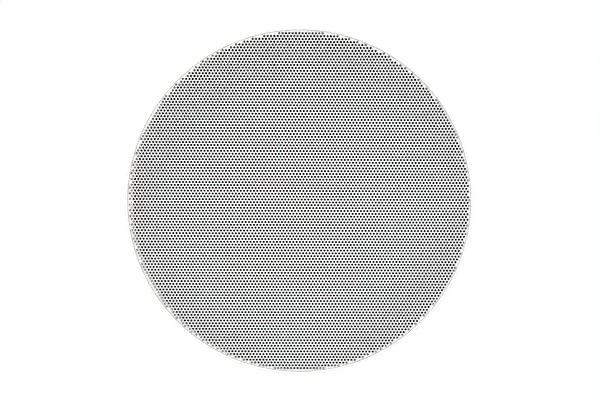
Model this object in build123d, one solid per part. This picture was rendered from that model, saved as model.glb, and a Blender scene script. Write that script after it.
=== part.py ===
from build123d import *
import math
import os

# Round in-ceiling loudspeaker, in millimetres.
# +Z points up into the ceiling void and the grille faces down along -Z.
# The origin is on the speaker's axis, and z = 0 is the ceiling's lower face, where the flange bears.

# Ceiling cut-out
CUTOUT_DIAMETER = 206.0
CUTOUT_PLAY = 1.5

# Grille and the cloth behind it
GRILLE_DIAMETER = 230.0
GRILLE_HEIGHT = 6.0
GRILLE_SHEET = 0.8
GRILLE_BEND = 1.0
GRILLE_REVEAL = 0.4
HOLE_PITCH = 19.0
HOLE_DIAMETER = 11.2
HOLE_MARGIN = 3.0
SCRIM_THICKNESS = 0.4
SCRIM_MARGIN = 2.0

# Moulded frame
FLANGE_THICKNESS = 2.4
FLANGE_PLAY = 0.3
FLANGE_EDGE = 0.6
FRAME_WALL = 2.5
SHELF_DEPTH = 6.0
COLLAR_HEIGHT = 5.0
OPENING_PLAY = 1.4
RIB_WIDTH = 1.8
RIB_HEIGHT = 3.5
RIB_ANGLES = (20.0, 32.0, 44.0, 56.0)

# Grille magnets
MAGNET_COUNT = 6
MAGNET_DIAMETER = 8.0
MAGNET_DEPTH = 2.0
MAGNET_PROUD = 0.3
MAGNET_BOSS_WALL = 1.5
MAGNET_INSET = 6.4

# Swing-out clamps
CLAMP_COUNT = 4
CLAMP_FIRST_ANGLE = 45.0
CLAMP_REACH = 26.0
CLAMP_WIDTH = 11.0
CLAMP_HEIGHT = 12.0
CLAMP_TIP_HEIGHT = 5.0
CLAMP_TRAVEL = 38.5
CLAMP_LIFT = 0.5
CLAMP_MARGIN = 1.5
CLAMP_WALL_PLAY = 0.8
CLAMP_STOP_PLAY = 0.3
CLAMP_BORE_PLAY = 0.1
TOOTH_COUNT = 5
TOOTH_PITCH = 2.4
TOOTH_DEPTH = 0.9
TOWER_FOOT = 9.0
TOWER_ROUND = 2.5
CLAMP_SCREW_DIAMETER = 4.0
CLAMP_SCREW_TIP = 1.5
CLAMP_HEAD_DIAMETER = 8.0
CLAMP_HEAD_HEIGHT = 3.0
SCREW_HOLE_PLAY = 0.15

# Woofer: cone and suspension
CONE_DIAMETER = 130.0
CONE_LAND = 4.5
CONE_SHEET = 0.6
CONE_DEPTH = 24.2
CONE_FLARE = 2.0
CONE_NECK = 3.0
CONE_STROKE = 3.0
SURROUND_ROLL = 5.0
SURROUND_LIP = 3.8
SURROUND_SHEET = 0.6
GASKET_THICKNESS = 1.5
SPIDER_SHEET = 0.5
SPIDER_LAND = 6.5
SPIDER_RADIUS = 44.0
SPIDER_WAVES = 5
SPIDER_WAVE_HEIGHT = 1.3
SPIDER_EDGE = 4.0

# Woofer: basket
BASKET_SHEET = 1.2
BASKET_BEND = 2.5
BASKET_SPIDER_DEPTH = 28.7
BASKET_DEPTH = 36.7
BASKET_FLOOR_RADIUS = 41.0
BASKET_FLOOR_PLAY = 2.0
SCREW_LAND = 5.2
WINDOW_COUNT = 6
WINDOW_ANGLE = 44.0
WINDOW_FRONT = 5.5
WINDOW_HEIGHT = 16.5
WINDOW_CORNER = 3.0
WOOFER_SCREW_COUNT = 4
WOOFER_SCREW_DIAMETER = 3.0
WOOFER_SCREW_LENGTH = 6.0
WOOFER_HEAD_DIAMETER = 4.8
WOOFER_HEAD_HEIGHT = 1.8
WOOFER_BOSS_WALL = 2.0
WOOFER_BOSS_END = 1.5

# Woofer: motor
COIL_DIAMETER = 25.4
FORMER_WALL = 0.4
WINDING_WALL = 0.6
GAP_PLAY = 0.5
TOP_PLATE_DIAMETER = 86.0
TOP_PLATE_THICKNESS = 5.0
FERRITE_DIAMETER = 90.0
FERRITE_BORE = 44.0
FERRITE_THICKNESS = 15.0
BACK_PLATE_DIAMETER = 84.0
BACK_PLATE_THICKNESS = 5.0
PLATE_EDGE = 0.8
POLE_BORE = 7.0

# Tweeter
TWEETER_DIAMETER = 40.0
TWEETER_FRONT_DEPTH = 0.6
TWEETER_FACE_THICKNESS = 4.1
TWEETER_FLARE = 1.8
TWEETER_THROAT_PLAY = 0.3
TWEETER_HOUSING_HEIGHT = 12.3
TWEETER_HOUSING_WALL = 1.6
TWEETER_HOUSING_FLOOR = 2.0
TWEETER_HOUSING_ROUND = 3.0
DOME_DIAMETER = 25.0
DOME_HEIGHT = 4.5
DOME_SHEET = 0.3
DOME_ROLL = 1.1
DOME_LIP = 2.7
TWEETER_COIL_WALL = 0.6
TWEETER_COIL_HEIGHT = 4.5
TWEETER_GAP_PLAY = 0.4
TWEETER_YOKE_WALL = 3.0
TWEETER_YOKE_FLOOR = 3.0
TWEETER_POLE_THICKNESS = 3.0
TWEETER_POLE_DROP = 1.0
POST_DIAMETER = 12.0
POST_FOOT_DIAMETER = 18.0
POST_FOOT_HEIGHT = 2.5
POST_SPIGOT = 10.0
POST_SPIGOT_PLAY = 0.05
POST_BORE = 4.0

# Woofer tag strip
TAG_WIDTH = 24.0
TAG_LENGTH = 15.0
TAG_THICKNESS = 1.6
TAG_LUG_WIDTH = 4.0
TAG_LUG_LENGTH = 10.0
TAG_LUG_THICKNESS = 0.6
TAG_LUG_SPACING = 14.0

# Crossover board on the frame
BOARD_WIDTH = 64.0
BOARD_HEIGHT = 36.0
BOARD_THICKNESS = 1.6
BOARD_STANDOFF = 84.0
BOARD_LIFT = 5.5
POST_WIDTH = 8.0
POST_DEPTH = 5.0
BOARD_SCREW_DIAMETER = 2.5
BOARD_SCREW_LENGTH = 5.6
BOARD_HEAD_DIAMETER = 5.0
BOARD_HEAD_HEIGHT = 1.7
BOARD_SCREW_INSET = 4.0
BOBBIN_DIAMETER = 22.0
BOBBIN_CORE = 12.0
BOBBIN_BORE = 8.0
BOBBIN_HEIGHT = 9.0
BOBBIN_FLANGE = 1.0
WINDING_MARGIN = 1.0
INDUCTOR_Y = -16.0
INDUCTOR_MARGIN = 4.0
CAPACITOR_DIAMETER = 9.0
CAPACITOR_LENGTH = 22.0
CAPACITOR_Y = 11.0
CAPACITOR_GAP = 1.0
RESISTOR_LENGTH = 20.0
RESISTOR_WIDTH = 7.0
RESISTOR_Y = 11.0
RESISTOR_GAP = 0.5

# Push terminals on the board
TERMINAL_WIDTH = 26.0
TERMINAL_DEPTH = 11.0
TERMINAL_BACK_WALL = 1.5
TERMINAL_HEIGHT = 15.0
TERMINAL_Y = 7.0
TERMINAL_RISE = 2.0
TERMINAL_ROUND = 1.0
BUTTON_WIDTH = 9.0
BUTTON_DEPTH = 5.0
BUTTON_SPACING = 13.0
BUTTON_LENGTH = 12.0
BUTTON_PROUD = 5.5
BUTTON_PLAY = 0.25
BUTTON_STROKE = 3.0
BUTTON_ROUND = 0.8
CONTACT_THICKNESS = 0.6
WIRE_HOLE_DIAMETER = 3.2
WIRE_HOLE_PLAY = 0.3

# Levels and radii that follow from the sizes above
GRILLE_RADIUS = GRILLE_DIAMETER / 2
GRILLE_FACE = -GRILLE_REVEAL - GRILLE_HEIGHT
GRILLE_INSIDE = GRILLE_FACE + GRILLE_SHEET
GRILLE_INNER_RADIUS = GRILLE_RADIUS - GRILLE_SHEET
SCRIM_BACK = GRILLE_INSIDE + SCRIM_THICKNESS
SCRIM_RADIUS = GRILLE_INNER_RADIUS - SCRIM_MARGIN
FLANGE_RADIUS = GRILLE_INNER_RADIUS - FLANGE_PLAY
SPIGOT_RADIUS = CUTOUT_DIAMETER / 2 - CUTOUT_PLAY
TUB_RADIUS = SPIGOT_RADIUS - FRAME_WALL
SHELF_FRONT = SHELF_DEPTH
SHELF_BACK = SHELF_FRONT + FRAME_WALL
COLLAR_TOP = SHELF_BACK + COLLAR_HEIGHT

CONE_RADIUS = CONE_DIAMETER / 2
ROLL_RADIUS = CONE_RADIUS + 2 * SURROUND_ROLL
LIP_RADIUS = ROLL_RADIUS + SURROUND_LIP
RIM_RADIUS = LIP_RADIUS + SCREW_LAND
RIM_FRONT = SHELF_FRONT - BASKET_SHEET
OPENING_RADIUS = ROLL_RADIUS + BASKET_SHEET + OPENING_PLAY
WOOFER_SCREW_RADIUS = RIM_RADIUS - SCREW_LAND / 2
SPIDER_LEVEL = RIM_FRONT + BASKET_SPIDER_DEPTH
SPIDER_OUTER_RADIUS = SPIDER_RADIUS + SPIDER_LAND
BASKET_FLOOR = RIM_FRONT + BASKET_DEPTH

FORMER_INNER = COIL_DIAMETER / 2
FORMER_OUTER = FORMER_INNER + FORMER_WALL
WINDING_OUTER = FORMER_OUTER + WINDING_WALL
POLE_RADIUS = FORMER_INNER - GAP_PLAY
GAP_RADIUS = WINDING_OUTER + GAP_PLAY
TOP_PLATE_FRONT = BASKET_FLOOR + BASKET_SHEET
FERRITE_FRONT = TOP_PLATE_FRONT + TOP_PLATE_THICKNESS
YOKE_FRONT = FERRITE_FRONT + FERRITE_THICKNESS
YOKE_BACK = YOKE_FRONT + BACK_PLATE_THICKNESS
WINDING_FRONT = TOP_PLATE_FRONT - CONE_STROKE
WINDING_BACK = FERRITE_FRONT + CONE_STROKE
CONE_NECK_FRONT = RIM_FRONT + CONE_DEPTH
CONE_NECK_BACK = CONE_NECK_FRONT + CONE_NECK

TWEETER_RADIUS = TWEETER_DIAMETER / 2
HOUSING_FRONT = TWEETER_FRONT_DEPTH + TWEETER_FACE_THICKNESS
HOUSING_BACK = HOUSING_FRONT + TWEETER_HOUSING_HEIGHT
HOUSING_FLOOR = HOUSING_BACK - TWEETER_HOUSING_FLOOR
DOME_RADIUS = DOME_DIAMETER / 2
DOME_BASE = HOUSING_FRONT + DOME_SHEET
DOME_LIP_RADIUS = DOME_RADIUS + TWEETER_COIL_WALL + 2 * DOME_ROLL + DOME_LIP
TWEETER_COIL_OUTER = DOME_RADIUS + TWEETER_COIL_WALL
TWEETER_GAP_RADIUS = TWEETER_COIL_OUTER + TWEETER_GAP_PLAY
TWEETER_POLE_RADIUS = DOME_RADIUS - TWEETER_GAP_PLAY
TWEETER_POLE_FRONT = DOME_BASE + TWEETER_POLE_DROP
TWEETER_MAGNET_FRONT = TWEETER_POLE_FRONT + TWEETER_POLE_THICKNESS
TWEETER_YOKE_INSIDE = HOUSING_FLOOR - TWEETER_YOKE_FLOOR

CLAMP_HALF = CLAMP_WIDTH / 2
CLAMP_CIRCLE = math.sqrt((SPIGOT_RADIUS - CLAMP_MARGIN) ** 2 - CLAMP_REACH ** 2) - CLAMP_HALF
CLAMP_LOWEST = SHELF_BACK + CLAMP_LIFT
CLAMP_REST = CLAMP_LOWEST + CLAMP_TRAVEL
TOWER_INSIDE = CLAMP_REST + CLAMP_HEIGHT + CLAMP_LIFT
TOWER_TOP = TOWER_INSIDE + FRAME_WALL
CLAMP_ANGLES = [CLAMP_FIRST_ANGLE + 360 / CLAMP_COUNT * i for i in range(CLAMP_COUNT)]

MAGNET_RADIUS = FLANGE_RADIUS - MAGNET_INSET
MAGNET_BACK = SCRIM_BACK + MAGNET_DEPTH
MAGNET_BOSS_FRONT = SCRIM_BACK + MAGNET_PROUD

BOARD_FACE = BOARD_STANDOFF + BOARD_THICKNESS
BOARD_BOTTOM = SHELF_BACK + BOARD_LIFT
BOARD_TOP = BOARD_BOTTOM + BOARD_HEIGHT
BOARD_SCREW_Y = BOARD_WIDTH / 2 - BOARD_SCREW_INSET
BOARD_SCREW_LEVELS = (BOARD_BOTTOM + BOARD_SCREW_INSET, BOARD_TOP - BOARD_SCREW_INSET)
TERMINAL_TOP = BOARD_TOP + TERMINAL_RISE
TERMINAL_BOTTOM = TERMINAL_TOP - TERMINAL_HEIGHT
INDUCTOR_LEVEL = BOARD_BOTTOM + INDUCTOR_MARGIN + BOBBIN_DIAMETER / 2
RESISTOR_LEVEL = TERMINAL_BOTTOM - RESISTOR_GAP - RESISTOR_WIDTH / 2
CAPACITOR_LEVEL = RESISTOR_LEVEL - RESISTOR_WIDTH / 2 - CAPACITOR_GAP - CAPACITOR_DIAMETER / 2
BUTTON_BOTTOM = TERMINAL_TOP + BUTTON_PROUD - BUTTON_LENGTH
BUTTON_X = BOARD_FACE + TERMINAL_BACK_WALL + BUTTON_PLAY + BUTTON_DEPTH / 2
WIRE_HOLE_LEVEL = BUTTON_BOTTOM - BUTTON_STROKE - WIRE_HOLE_PLAY - WIRE_HOLE_DIAMETER / 2
CONTACT_TOP = WIRE_HOLE_LEVEL - WIRE_HOLE_DIAMETER / 2 - WIRE_HOLE_PLAY
POCKET_FLOOR = CONTACT_TOP - CONTACT_THICKNESS
BUTTON_PLACES = (TERMINAL_Y - BUTTON_SPACING / 2, TERMINAL_Y + BUTTON_SPACING / 2)

UPRIGHT = (Align.CENTER, Align.CENTER, Align.MIN)


# Ways of making shapes

def section(*corners):
    """Flat section with straight sides, drawn as radius across and height up."""
    return make_face(Polyline(*corners, close=True))


def pressed(path, thickness, side):
    """Section of a sheet of even thickness that lies along one side of a path."""
    return make_face(offset(path, amount=thickness, side=side, kind=Kind.INTERSECTION))


def turned(flat, angle=360):
    """Solid of a section turned about the Z axis, evenly to both sides of the XZ plane."""
    return Rot(0, 0, -angle / 2) * revolve(Plane.XZ * flat, Axis.Z, angle)


def ring(inner, outer, bottom, top):
    """Plain ring about the Z axis, or a disc where the inner radius is 0."""
    return turned(section((inner, bottom), (outer, bottom), (outer, top), (inner, top)))


def peg(radius, bottom, top):
    """Upright round peg on the Z axis."""
    return Pos(0, 0, bottom) * Cylinder(radius, top - bottom, align=UPRIGHT)


def block(x_span, y_span, z_span):
    """Box between two limits along each axis."""
    spans = (x_span, y_span, z_span)
    size = [high - low for low, high in spans]
    return Pos(*[low for low, high in spans]) * Box(*size, align=(Align.MIN,) * 3)


def around(shape, angles):
    """Copies of a shape turned about the Z axis."""
    return [Rot(0, 0, angle) * shape for angle in angles]


def even_angles(count, first=0.0):
    """Angles of an even ring of copies."""
    return [first + 360 / count * i for i in range(count)]


def pan_screw(head_radius, head_height, shank_radius, length, tip):
    """Pan-head screw along +Z, its head below z = 0 and its shank above."""
    head = turned(section((0, -head_height), (head_radius * 0.6, -head_height),
                          (head_radius, -head_height * 0.4), (head_radius, 0), (0, 0)))
    shank = turned(section((0, 0), (shank_radius, 0), (shank_radius, length - tip),
                           (shank_radius - tip / 2, length), (0, length)))
    return head + shank


# Grille and cloth

def hole_places():
    """Centres of the perforation: a triangular lattice, kept to what clears the bend."""
    limit = GRILLE_RADIUS - GRILLE_BEND - GRILLE_SHEET - HOLE_MARGIN - HOLE_DIAMETER / 2
    reach = int(limit / HOLE_PITCH) + 2
    places = []
    for row in range(-reach, reach + 1):
        for column in range(-2 * reach, 2 * reach + 1):
            x = HOLE_PITCH * (column + row / 2)
            y = HOLE_PITCH * row * math.sqrt(3) / 2
            if math.hypot(x, y) <= limit:
                places.append((x, y))
    return places


def grille():
    """Sheet pressed to a shallow dish, with a coarse perforation of the real sheet's open share."""
    path = FilletPolyline((0, GRILLE_INSIDE), (GRILLE_INNER_RADIUS, GRILLE_INSIDE),
                          (GRILLE_INNER_RADIUS, -GRILLE_REVEAL), radius=GRILLE_BEND)
    dish = turned(pressed(path, GRILLE_SHEET, Side.RIGHT))
    hole = peg(HOLE_DIAMETER / 2, GRILLE_FACE - GRILLE_SHEET, GRILLE_INSIDE + GRILLE_SHEET)
    return dish - [Pos(x, y, 0) * hole for x, y in hole_places()]


def grille_scrim():
    return ring(0, SCRIM_RADIUS, GRILLE_INSIDE, SCRIM_BACK)


def grille_magnets():
    disc = Pos(MAGNET_RADIUS, 0, 0) * peg(MAGNET_DIAMETER / 2, SCRIM_BACK, MAGNET_BACK)
    return Part() + around(disc, even_angles(MAGNET_COUNT))


# Moulded frame

def frame_shell():
    """Flange, spigot, woofer shelf and collar as one turned wall."""
    collar_outer = OPENING_RADIUS + FRAME_WALL
    shell = turned(section(
        (FLANGE_RADIUS, 0), (FLANGE_RADIUS, FLANGE_EDGE - FLANGE_THICKNESS),
        (FLANGE_RADIUS - FLANGE_EDGE, -FLANGE_THICKNESS), (TUB_RADIUS, -FLANGE_THICKNESS),
        (TUB_RADIUS, SHELF_FRONT), (OPENING_RADIUS, SHELF_FRONT), (OPENING_RADIUS, COLLAR_TOP),
        (collar_outer, COLLAR_TOP), (collar_outer, SHELF_BACK), (SPIGOT_RADIUS, SHELF_BACK),
        (SPIGOT_RADIUS, 0)))
    return shell


def clamp_tower():
    """Channel that guides one clamp: inner wall, stop wall, roof and foot, on the +X side."""
    inner = CLAMP_CIRCLE - CLAMP_HALF - CLAMP_WALL_PLAY - FRAME_WALL
    outer = TUB_RADIUS
    stop = CLAMP_HALF + CLAMP_STOP_PLAY
    back = -stop - FRAME_WALL
    walls = make_face(Polyline(
        (inner, back), (inner + FRAME_WALL, back), (inner + FRAME_WALL, stop), (outer, stop),
        (outer, stop + FRAME_WALL), (inner, stop + FRAME_WALL), close=True))
    walls = fillet(walls.vertices().sort_by(Axis.X)[:3].sort_by(Axis.Y)[-1], TOWER_ROUND)
    roof = make_face(Polyline(
        (inner, back), (CLAMP_CIRCLE, back), (outer, stop), (outer, stop + FRAME_WALL),
        (inner, stop + FRAME_WALL), close=True))
    roof = fillet(roof.vertices().sort_by(Axis.X)[:2].sort_by(Axis.Y)[-1], TOWER_ROUND)
    web = Plane.XZ * section(
        (inner, SHELF_BACK), (inner, TOWER_TOP - TOWER_FOOT), (inner - TOWER_FOOT / 3, COLLAR_TOP),
        (OPENING_RADIUS, COLLAR_TOP), (OPENING_RADIUS, SHELF_BACK))
    tower = Pos(0, 0, SHELF_BACK) * extrude(walls, TOWER_TOP - SHELF_BACK)
    tower += Pos(0, 0, TOWER_INSIDE) * extrude(roof, TOWER_TOP - TOWER_INSIDE)
    return tower + extrude(web, RIB_WIDTH / 2, both=True)


def board_post(side):
    """Upright post with a screw pilot at each end, behind one edge of the crossover board."""
    middle = side * BOARD_SCREW_Y
    post = block((BOARD_STANDOFF - POST_DEPTH, BOARD_STANDOFF),
                 (middle - POST_WIDTH / 2, middle + POST_WIDTH / 2), (SHELF_BACK, BOARD_TOP))
    return post - [board_screw_place(side, level) * peg(BOARD_SCREW_DIAMETER / 2, 0, BOARD_SCREW_LENGTH)
                   for level in BOARD_SCREW_LEVELS]


def shelf_ribs():
    """Radial ribs on the back of the shelf, between the clamps."""
    rib = block((OPENING_RADIUS + FRAME_WALL / 2, SPIGOT_RADIUS - FRAME_WALL / 2),
                (-RIB_WIDTH / 2, RIB_WIDTH / 2), (SHELF_FRONT + FRAME_WALL / 2, SHELF_BACK + RIB_HEIGHT))
    return around(rib, [clamp + rib_angle for clamp in CLAMP_ANGLES for rib_angle in RIB_ANGLES])


def woofer_boss():
    """Blind boss on the back of the shelf for one of the woofer's screws, on the +X side."""
    boss = peg(WOOFER_SCREW_DIAMETER / 2 + WOOFER_BOSS_WALL, SHELF_BACK - FRAME_WALL / 2,
               RIM_FRONT + WOOFER_SCREW_LENGTH + WOOFER_BOSS_END)
    return Pos(WOOFER_SCREW_RADIUS, 0, 0) * boss


def mounting_frame():
    frame = frame_shell() + around(clamp_tower(), CLAMP_ANGLES) + shelf_ribs()
    frame += [board_post(-1), board_post(1)]
    frame += around(woofer_boss(), even_angles(WOOFER_SCREW_COUNT))
    boss = Pos(MAGNET_RADIUS, 0, 0) * peg(MAGNET_DIAMETER / 2 + MAGNET_BOSS_WALL, MAGNET_BOSS_FRONT, 0)
    frame += around(boss, even_angles(MAGNET_COUNT))
    pocket = Pos(MAGNET_RADIUS, 0, 0) * peg(MAGNET_DIAMETER / 2, SCRIM_BACK, MAGNET_BACK)
    frame -= around(pocket, even_angles(MAGNET_COUNT))
    screw_hole = peg(CLAMP_SCREW_DIAMETER / 2 + SCREW_HOLE_PLAY, SHELF_FRONT, TOWER_TOP)
    frame -= around(Pos(CLAMP_CIRCLE, 0, 0) * screw_hole, CLAMP_ANGLES)
    pilot = peg(WOOFER_SCREW_DIAMETER / 2, SHELF_FRONT, RIM_FRONT + WOOFER_SCREW_LENGTH)
    frame -= around(Pos(WOOFER_SCREW_RADIUS, 0, 0) * pilot, even_angles(WOOFER_SCREW_COUNT))
    return frame


# Swing-out clamps

def clamp():
    """Dog-leg clamp with its arm along +X: tall hub, low tip and teeth that bite the ceiling board."""
    plan = Circle(CLAMP_HALF) + Pos(CLAMP_REACH / 2, 0) * Rectangle(CLAMP_REACH, CLAMP_WIDTH)
    tip_corners = plan.vertices().filter_by(lambda v: v.X > CLAMP_REACH / 2)
    plan = fillet(tip_corners, CLAMP_HALF / 2)
    side = Plane.XZ * make_face([
        Polyline((CLAMP_REACH, CLAMP_TIP_HEIGHT), (CLAMP_REACH, 0), (-CLAMP_HALF, 0),
                 (-CLAMP_HALF, CLAMP_HEIGHT), (CLAMP_HALF, CLAMP_HEIGHT)),
        ThreePointArc((CLAMP_HALF, CLAMP_HEIGHT),
                      (CLAMP_REACH * 0.45, CLAMP_TIP_HEIGHT + (CLAMP_HEIGHT - CLAMP_TIP_HEIGHT) * 0.3),
                      (CLAMP_REACH, CLAMP_TIP_HEIGHT))])
    body = extrude(plan, CLAMP_HEIGHT) & extrude(side, CLAMP_WIDTH, both=True)
    notch = Plane.XZ * section((-TOOTH_PITCH / 2, 0), (0, TOOTH_DEPTH), (TOOTH_PITCH / 2, 0))
    notch = extrude(notch, CLAMP_WIDTH, both=True)
    body -= [Pos(CLAMP_REACH - TOOTH_PITCH * (i + 0.5), 0, 0) * notch for i in range(TOOTH_COUNT)]
    return body - peg(CLAMP_SCREW_DIAMETER / 2 + CLAMP_BORE_PLAY, 0, CLAMP_HEIGHT)


def parked_clamp(angle):
    """Clamp on its screw, its arm folded back along the rim."""
    return Rot(0, 0, angle) * Pos(CLAMP_CIRCLE, 0, CLAMP_REST) * Rot(0, 0, -90) * clamp()


def clamp_screw(angle):
    screw = pan_screw(CLAMP_HEAD_DIAMETER / 2, CLAMP_HEAD_HEIGHT, CLAMP_SCREW_DIAMETER / 2,
                      TOWER_TOP + CLAMP_SCREW_TIP - SHELF_FRONT, CLAMP_SCREW_TIP)
    return Rot(0, 0, angle) * Pos(CLAMP_CIRCLE, 0, SHELF_FRONT) * screw


# Woofer

def basket_path():
    """Front face of the pressed basket, from the rim to the hole round the voice coil."""
    return FilletPolyline(
        (RIM_RADIUS, RIM_FRONT), (ROLL_RADIUS, RIM_FRONT), (SPIDER_OUTER_RADIUS, SPIDER_LEVEL),
        (SPIDER_RADIUS, SPIDER_LEVEL), (BASKET_FLOOR_RADIUS, BASKET_FLOOR),
        (GAP_RADIUS + BASKET_FLOOR_PLAY, BASKET_FLOOR), radius=BASKET_BEND)


def basket_window():
    """Cutter for one window in the basket's sloping wall, with rounded corners."""
    slope = (SPIDER_OUTER_RADIUS - ROLL_RADIUS) / BASKET_SPIDER_DEPTH
    front = ROLL_RADIUS + slope * WINDOW_FRONT
    back = front + slope * WINDOW_HEIGHT
    reach = 4 * BASKET_BEND
    low = RIM_FRONT + WINDOW_FRONT
    high = low + WINDOW_HEIGHT
    cutter = turned(section((front - reach, low), (front + reach, low), (back + reach, high),
                            (back - reach, high)), WINDOW_ANGLE)
    sides = cutter.edges().filter_by(GeomType.LINE)
    corners = sides.filter_by(lambda e: abs(e.position_at(0).Z - e.position_at(1).Z) < BASKET_SHEET)
    return fillet(corners, WINDOW_CORNER)


def woofer_basket():
    basket = turned(pressed(basket_path(), BASKET_SHEET, Side.RIGHT))
    basket -= around(basket_window(), even_angles(WINDOW_COUNT))
    hole = peg(WOOFER_SCREW_DIAMETER / 2 + SCREW_HOLE_PLAY, RIM_FRONT, SHELF_FRONT)
    hole = Pos(WOOFER_SCREW_RADIUS, 0, 0) * hole
    return basket - around(hole, even_angles(WOOFER_SCREW_COUNT))


def woofer_gasket():
    front = RIM_FRONT - SURROUND_SHEET - GASKET_THICKNESS
    return ring(ROLL_RADIUS + SURROUND_SHEET, LIP_RADIUS, front, RIM_FRONT - SURROUND_SHEET)


def woofer_screws():
    screw = pan_screw(WOOFER_HEAD_DIAMETER / 2, WOOFER_HEAD_HEIGHT, WOOFER_SCREW_DIAMETER / 2,
                      WOOFER_SCREW_LENGTH, WOOFER_SCREW_DIAMETER / 4)
    screw = Pos(WOOFER_SCREW_RADIUS, 0, RIM_FRONT) * screw
    return Part() + around(screw, even_angles(WOOFER_SCREW_COUNT))


def woofer_surround():
    """Rubber half roll between the basket's rim and the cone's edge."""
    middle = CONE_RADIUS + SURROUND_ROLL
    path = [Line((LIP_RADIUS, RIM_FRONT), (ROLL_RADIUS, RIM_FRONT)),
            ThreePointArc((ROLL_RADIUS, RIM_FRONT), (middle, RIM_FRONT - SURROUND_ROLL),
                          (CONE_RADIUS, RIM_FRONT)),
            Line((CONE_RADIUS, RIM_FRONT), (CONE_RADIUS - CONE_LAND, RIM_FRONT))]
    return turned(pressed(Curve() + path, SURROUND_SHEET, Side.LEFT))


def woofer_cone():
    """Thin flared cone with a flat land for the surround and a neck that grips the former."""
    edge = CONE_RADIUS - CONE_LAND
    slope = math.hypot(edge - FORMER_OUTER, CONE_DEPTH)
    flare = ((edge + FORMER_OUTER) / 2 - CONE_FLARE * CONE_DEPTH / slope,
             RIM_FRONT + CONE_DEPTH / 2 - CONE_FLARE * (edge - FORMER_OUTER) / slope)
    path = [Line((CONE_RADIUS, RIM_FRONT), (edge, RIM_FRONT)),
            ThreePointArc((edge, RIM_FRONT), flare, (FORMER_OUTER, CONE_NECK_FRONT)),
            Line((FORMER_OUTER, CONE_NECK_FRONT), (FORMER_OUTER, CONE_NECK_BACK))]
    return turned(pressed(Curve() + path, CONE_SHEET, Side.RIGHT))


def voice_coil_former():
    return ring(FORMER_INNER, FORMER_OUTER, CONE_NECK_FRONT, WINDING_BACK)


def voice_coil():
    return ring(FORMER_OUTER, WINDING_OUTER, WINDING_FRONT, WINDING_BACK)


def spider():
    """Corrugated cloth disc that centres the coil, with even folds between two flat edges."""
    outer = SPIDER_RADIUS - SPIDER_EDGE
    inner = FORMER_OUTER + SPIDER_EDGE
    half = (outer - inner) / (2 * SPIDER_WAVES)
    path = [(SPIDER_OUTER_RADIUS - BASKET_BEND, SPIDER_LEVEL), (outer, SPIDER_LEVEL)]
    for i in range(2 * SPIDER_WAVES):
        height = SPIDER_WAVE_HEIGHT * (-1 if i % 2 == 0 else 1)
        path.append((outer - half * (i + 0.5), SPIDER_LEVEL + height))
    path += [(inner, SPIDER_LEVEL), (FORMER_OUTER, SPIDER_LEVEL)]
    return turned(pressed(Polyline(*path), SPIDER_SHEET, Side.LEFT))


def steel_disc(inner, outer, bottom, top):
    """Turned ring with its outer corners broken."""
    return turned(section(
        (inner, bottom), (outer - PLATE_EDGE, bottom), (outer, bottom + PLATE_EDGE),
        (outer, top - PLATE_EDGE), (outer - PLATE_EDGE, top), (inner, top)))


def top_plate():
    return steel_disc(GAP_RADIUS, TOP_PLATE_DIAMETER / 2, TOP_PLATE_FRONT, FERRITE_FRONT)


def ferrite_magnet():
    return steel_disc(FERRITE_BORE / 2, FERRITE_DIAMETER / 2, FERRITE_FRONT, YOKE_FRONT)


def pole_yoke():
    """Back plate and pole in one, with a bore for the tweeter's post."""
    yoke = steel_disc(POLE_BORE / 2, BACK_PLATE_DIAMETER / 2, YOKE_FRONT, YOKE_BACK)
    return yoke + ring(POLE_BORE / 2, POLE_RADIUS, TOP_PLATE_FRONT, YOKE_BACK)


def woofer_terminal():
    """Tag strip on the back of the spider land, with two solder lugs."""
    level = SPIDER_LEVEL + BASKET_SHEET
    plate_top = level + TAG_THICKNESS
    tag_end = SPIDER_RADIUS + TAG_LENGTH
    plate = block((SPIDER_RADIUS + BASKET_BEND, tag_end), (-TAG_WIDTH / 2, TAG_WIDTH / 2),
                  (level, plate_top))
    lug_x = (tag_end + TAG_LUG_LENGTH / 2 - TAG_LUG_LENGTH, tag_end + TAG_LUG_LENGTH / 2)
    for side in (-1, 1):
        middle = side * TAG_LUG_SPACING / 2
        plate += block(lug_x, (middle - TAG_LUG_WIDTH / 2, middle + TAG_LUG_WIDTH / 2),
                       (plate_top, plate_top + TAG_LUG_THICKNESS))
    return plate


# Tweeter

def tweeter_post():
    """Hollow post that stands on the pole and carries the tweeter in front of the cone."""
    spigot = POLE_BORE / 2 - POST_SPIGOT_PLAY
    return turned(section(
        (POST_BORE / 2, HOUSING_BACK), (POST_DIAMETER / 2, HOUSING_BACK),
        (POST_DIAMETER / 2, TOP_PLATE_FRONT - 2 * POST_FOOT_HEIGHT),
        (POST_FOOT_DIAMETER / 2, TOP_PLATE_FRONT - POST_FOOT_HEIGHT),
        (POST_FOOT_DIAMETER / 2, TOP_PLATE_FRONT), (spigot, TOP_PLATE_FRONT),
        (spigot, TOP_PLATE_FRONT + POST_SPIGOT), (POST_BORE / 2, TOP_PLATE_FRONT + POST_SPIGOT)))


def tweeter_housing():
    """Cup round the tweeter's motor, rounded at the back."""
    inside = TWEETER_RADIUS - TWEETER_HOUSING_WALL
    cup = turned(section(
        (POST_BORE / 2, HOUSING_FLOOR), (inside, HOUSING_FLOOR), (inside, HOUSING_FRONT),
        (TWEETER_RADIUS, HOUSING_FRONT), (TWEETER_RADIUS, HOUSING_BACK), (POST_BORE / 2, HOUSING_BACK)))
    back_edge = cup.edges().filter_by(GeomType.CIRCLE).group_by(Axis.Z)[-1].sort_by(SortBy.RADIUS)[-1]
    return fillet(back_edge, TWEETER_HOUSING_ROUND)


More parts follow.
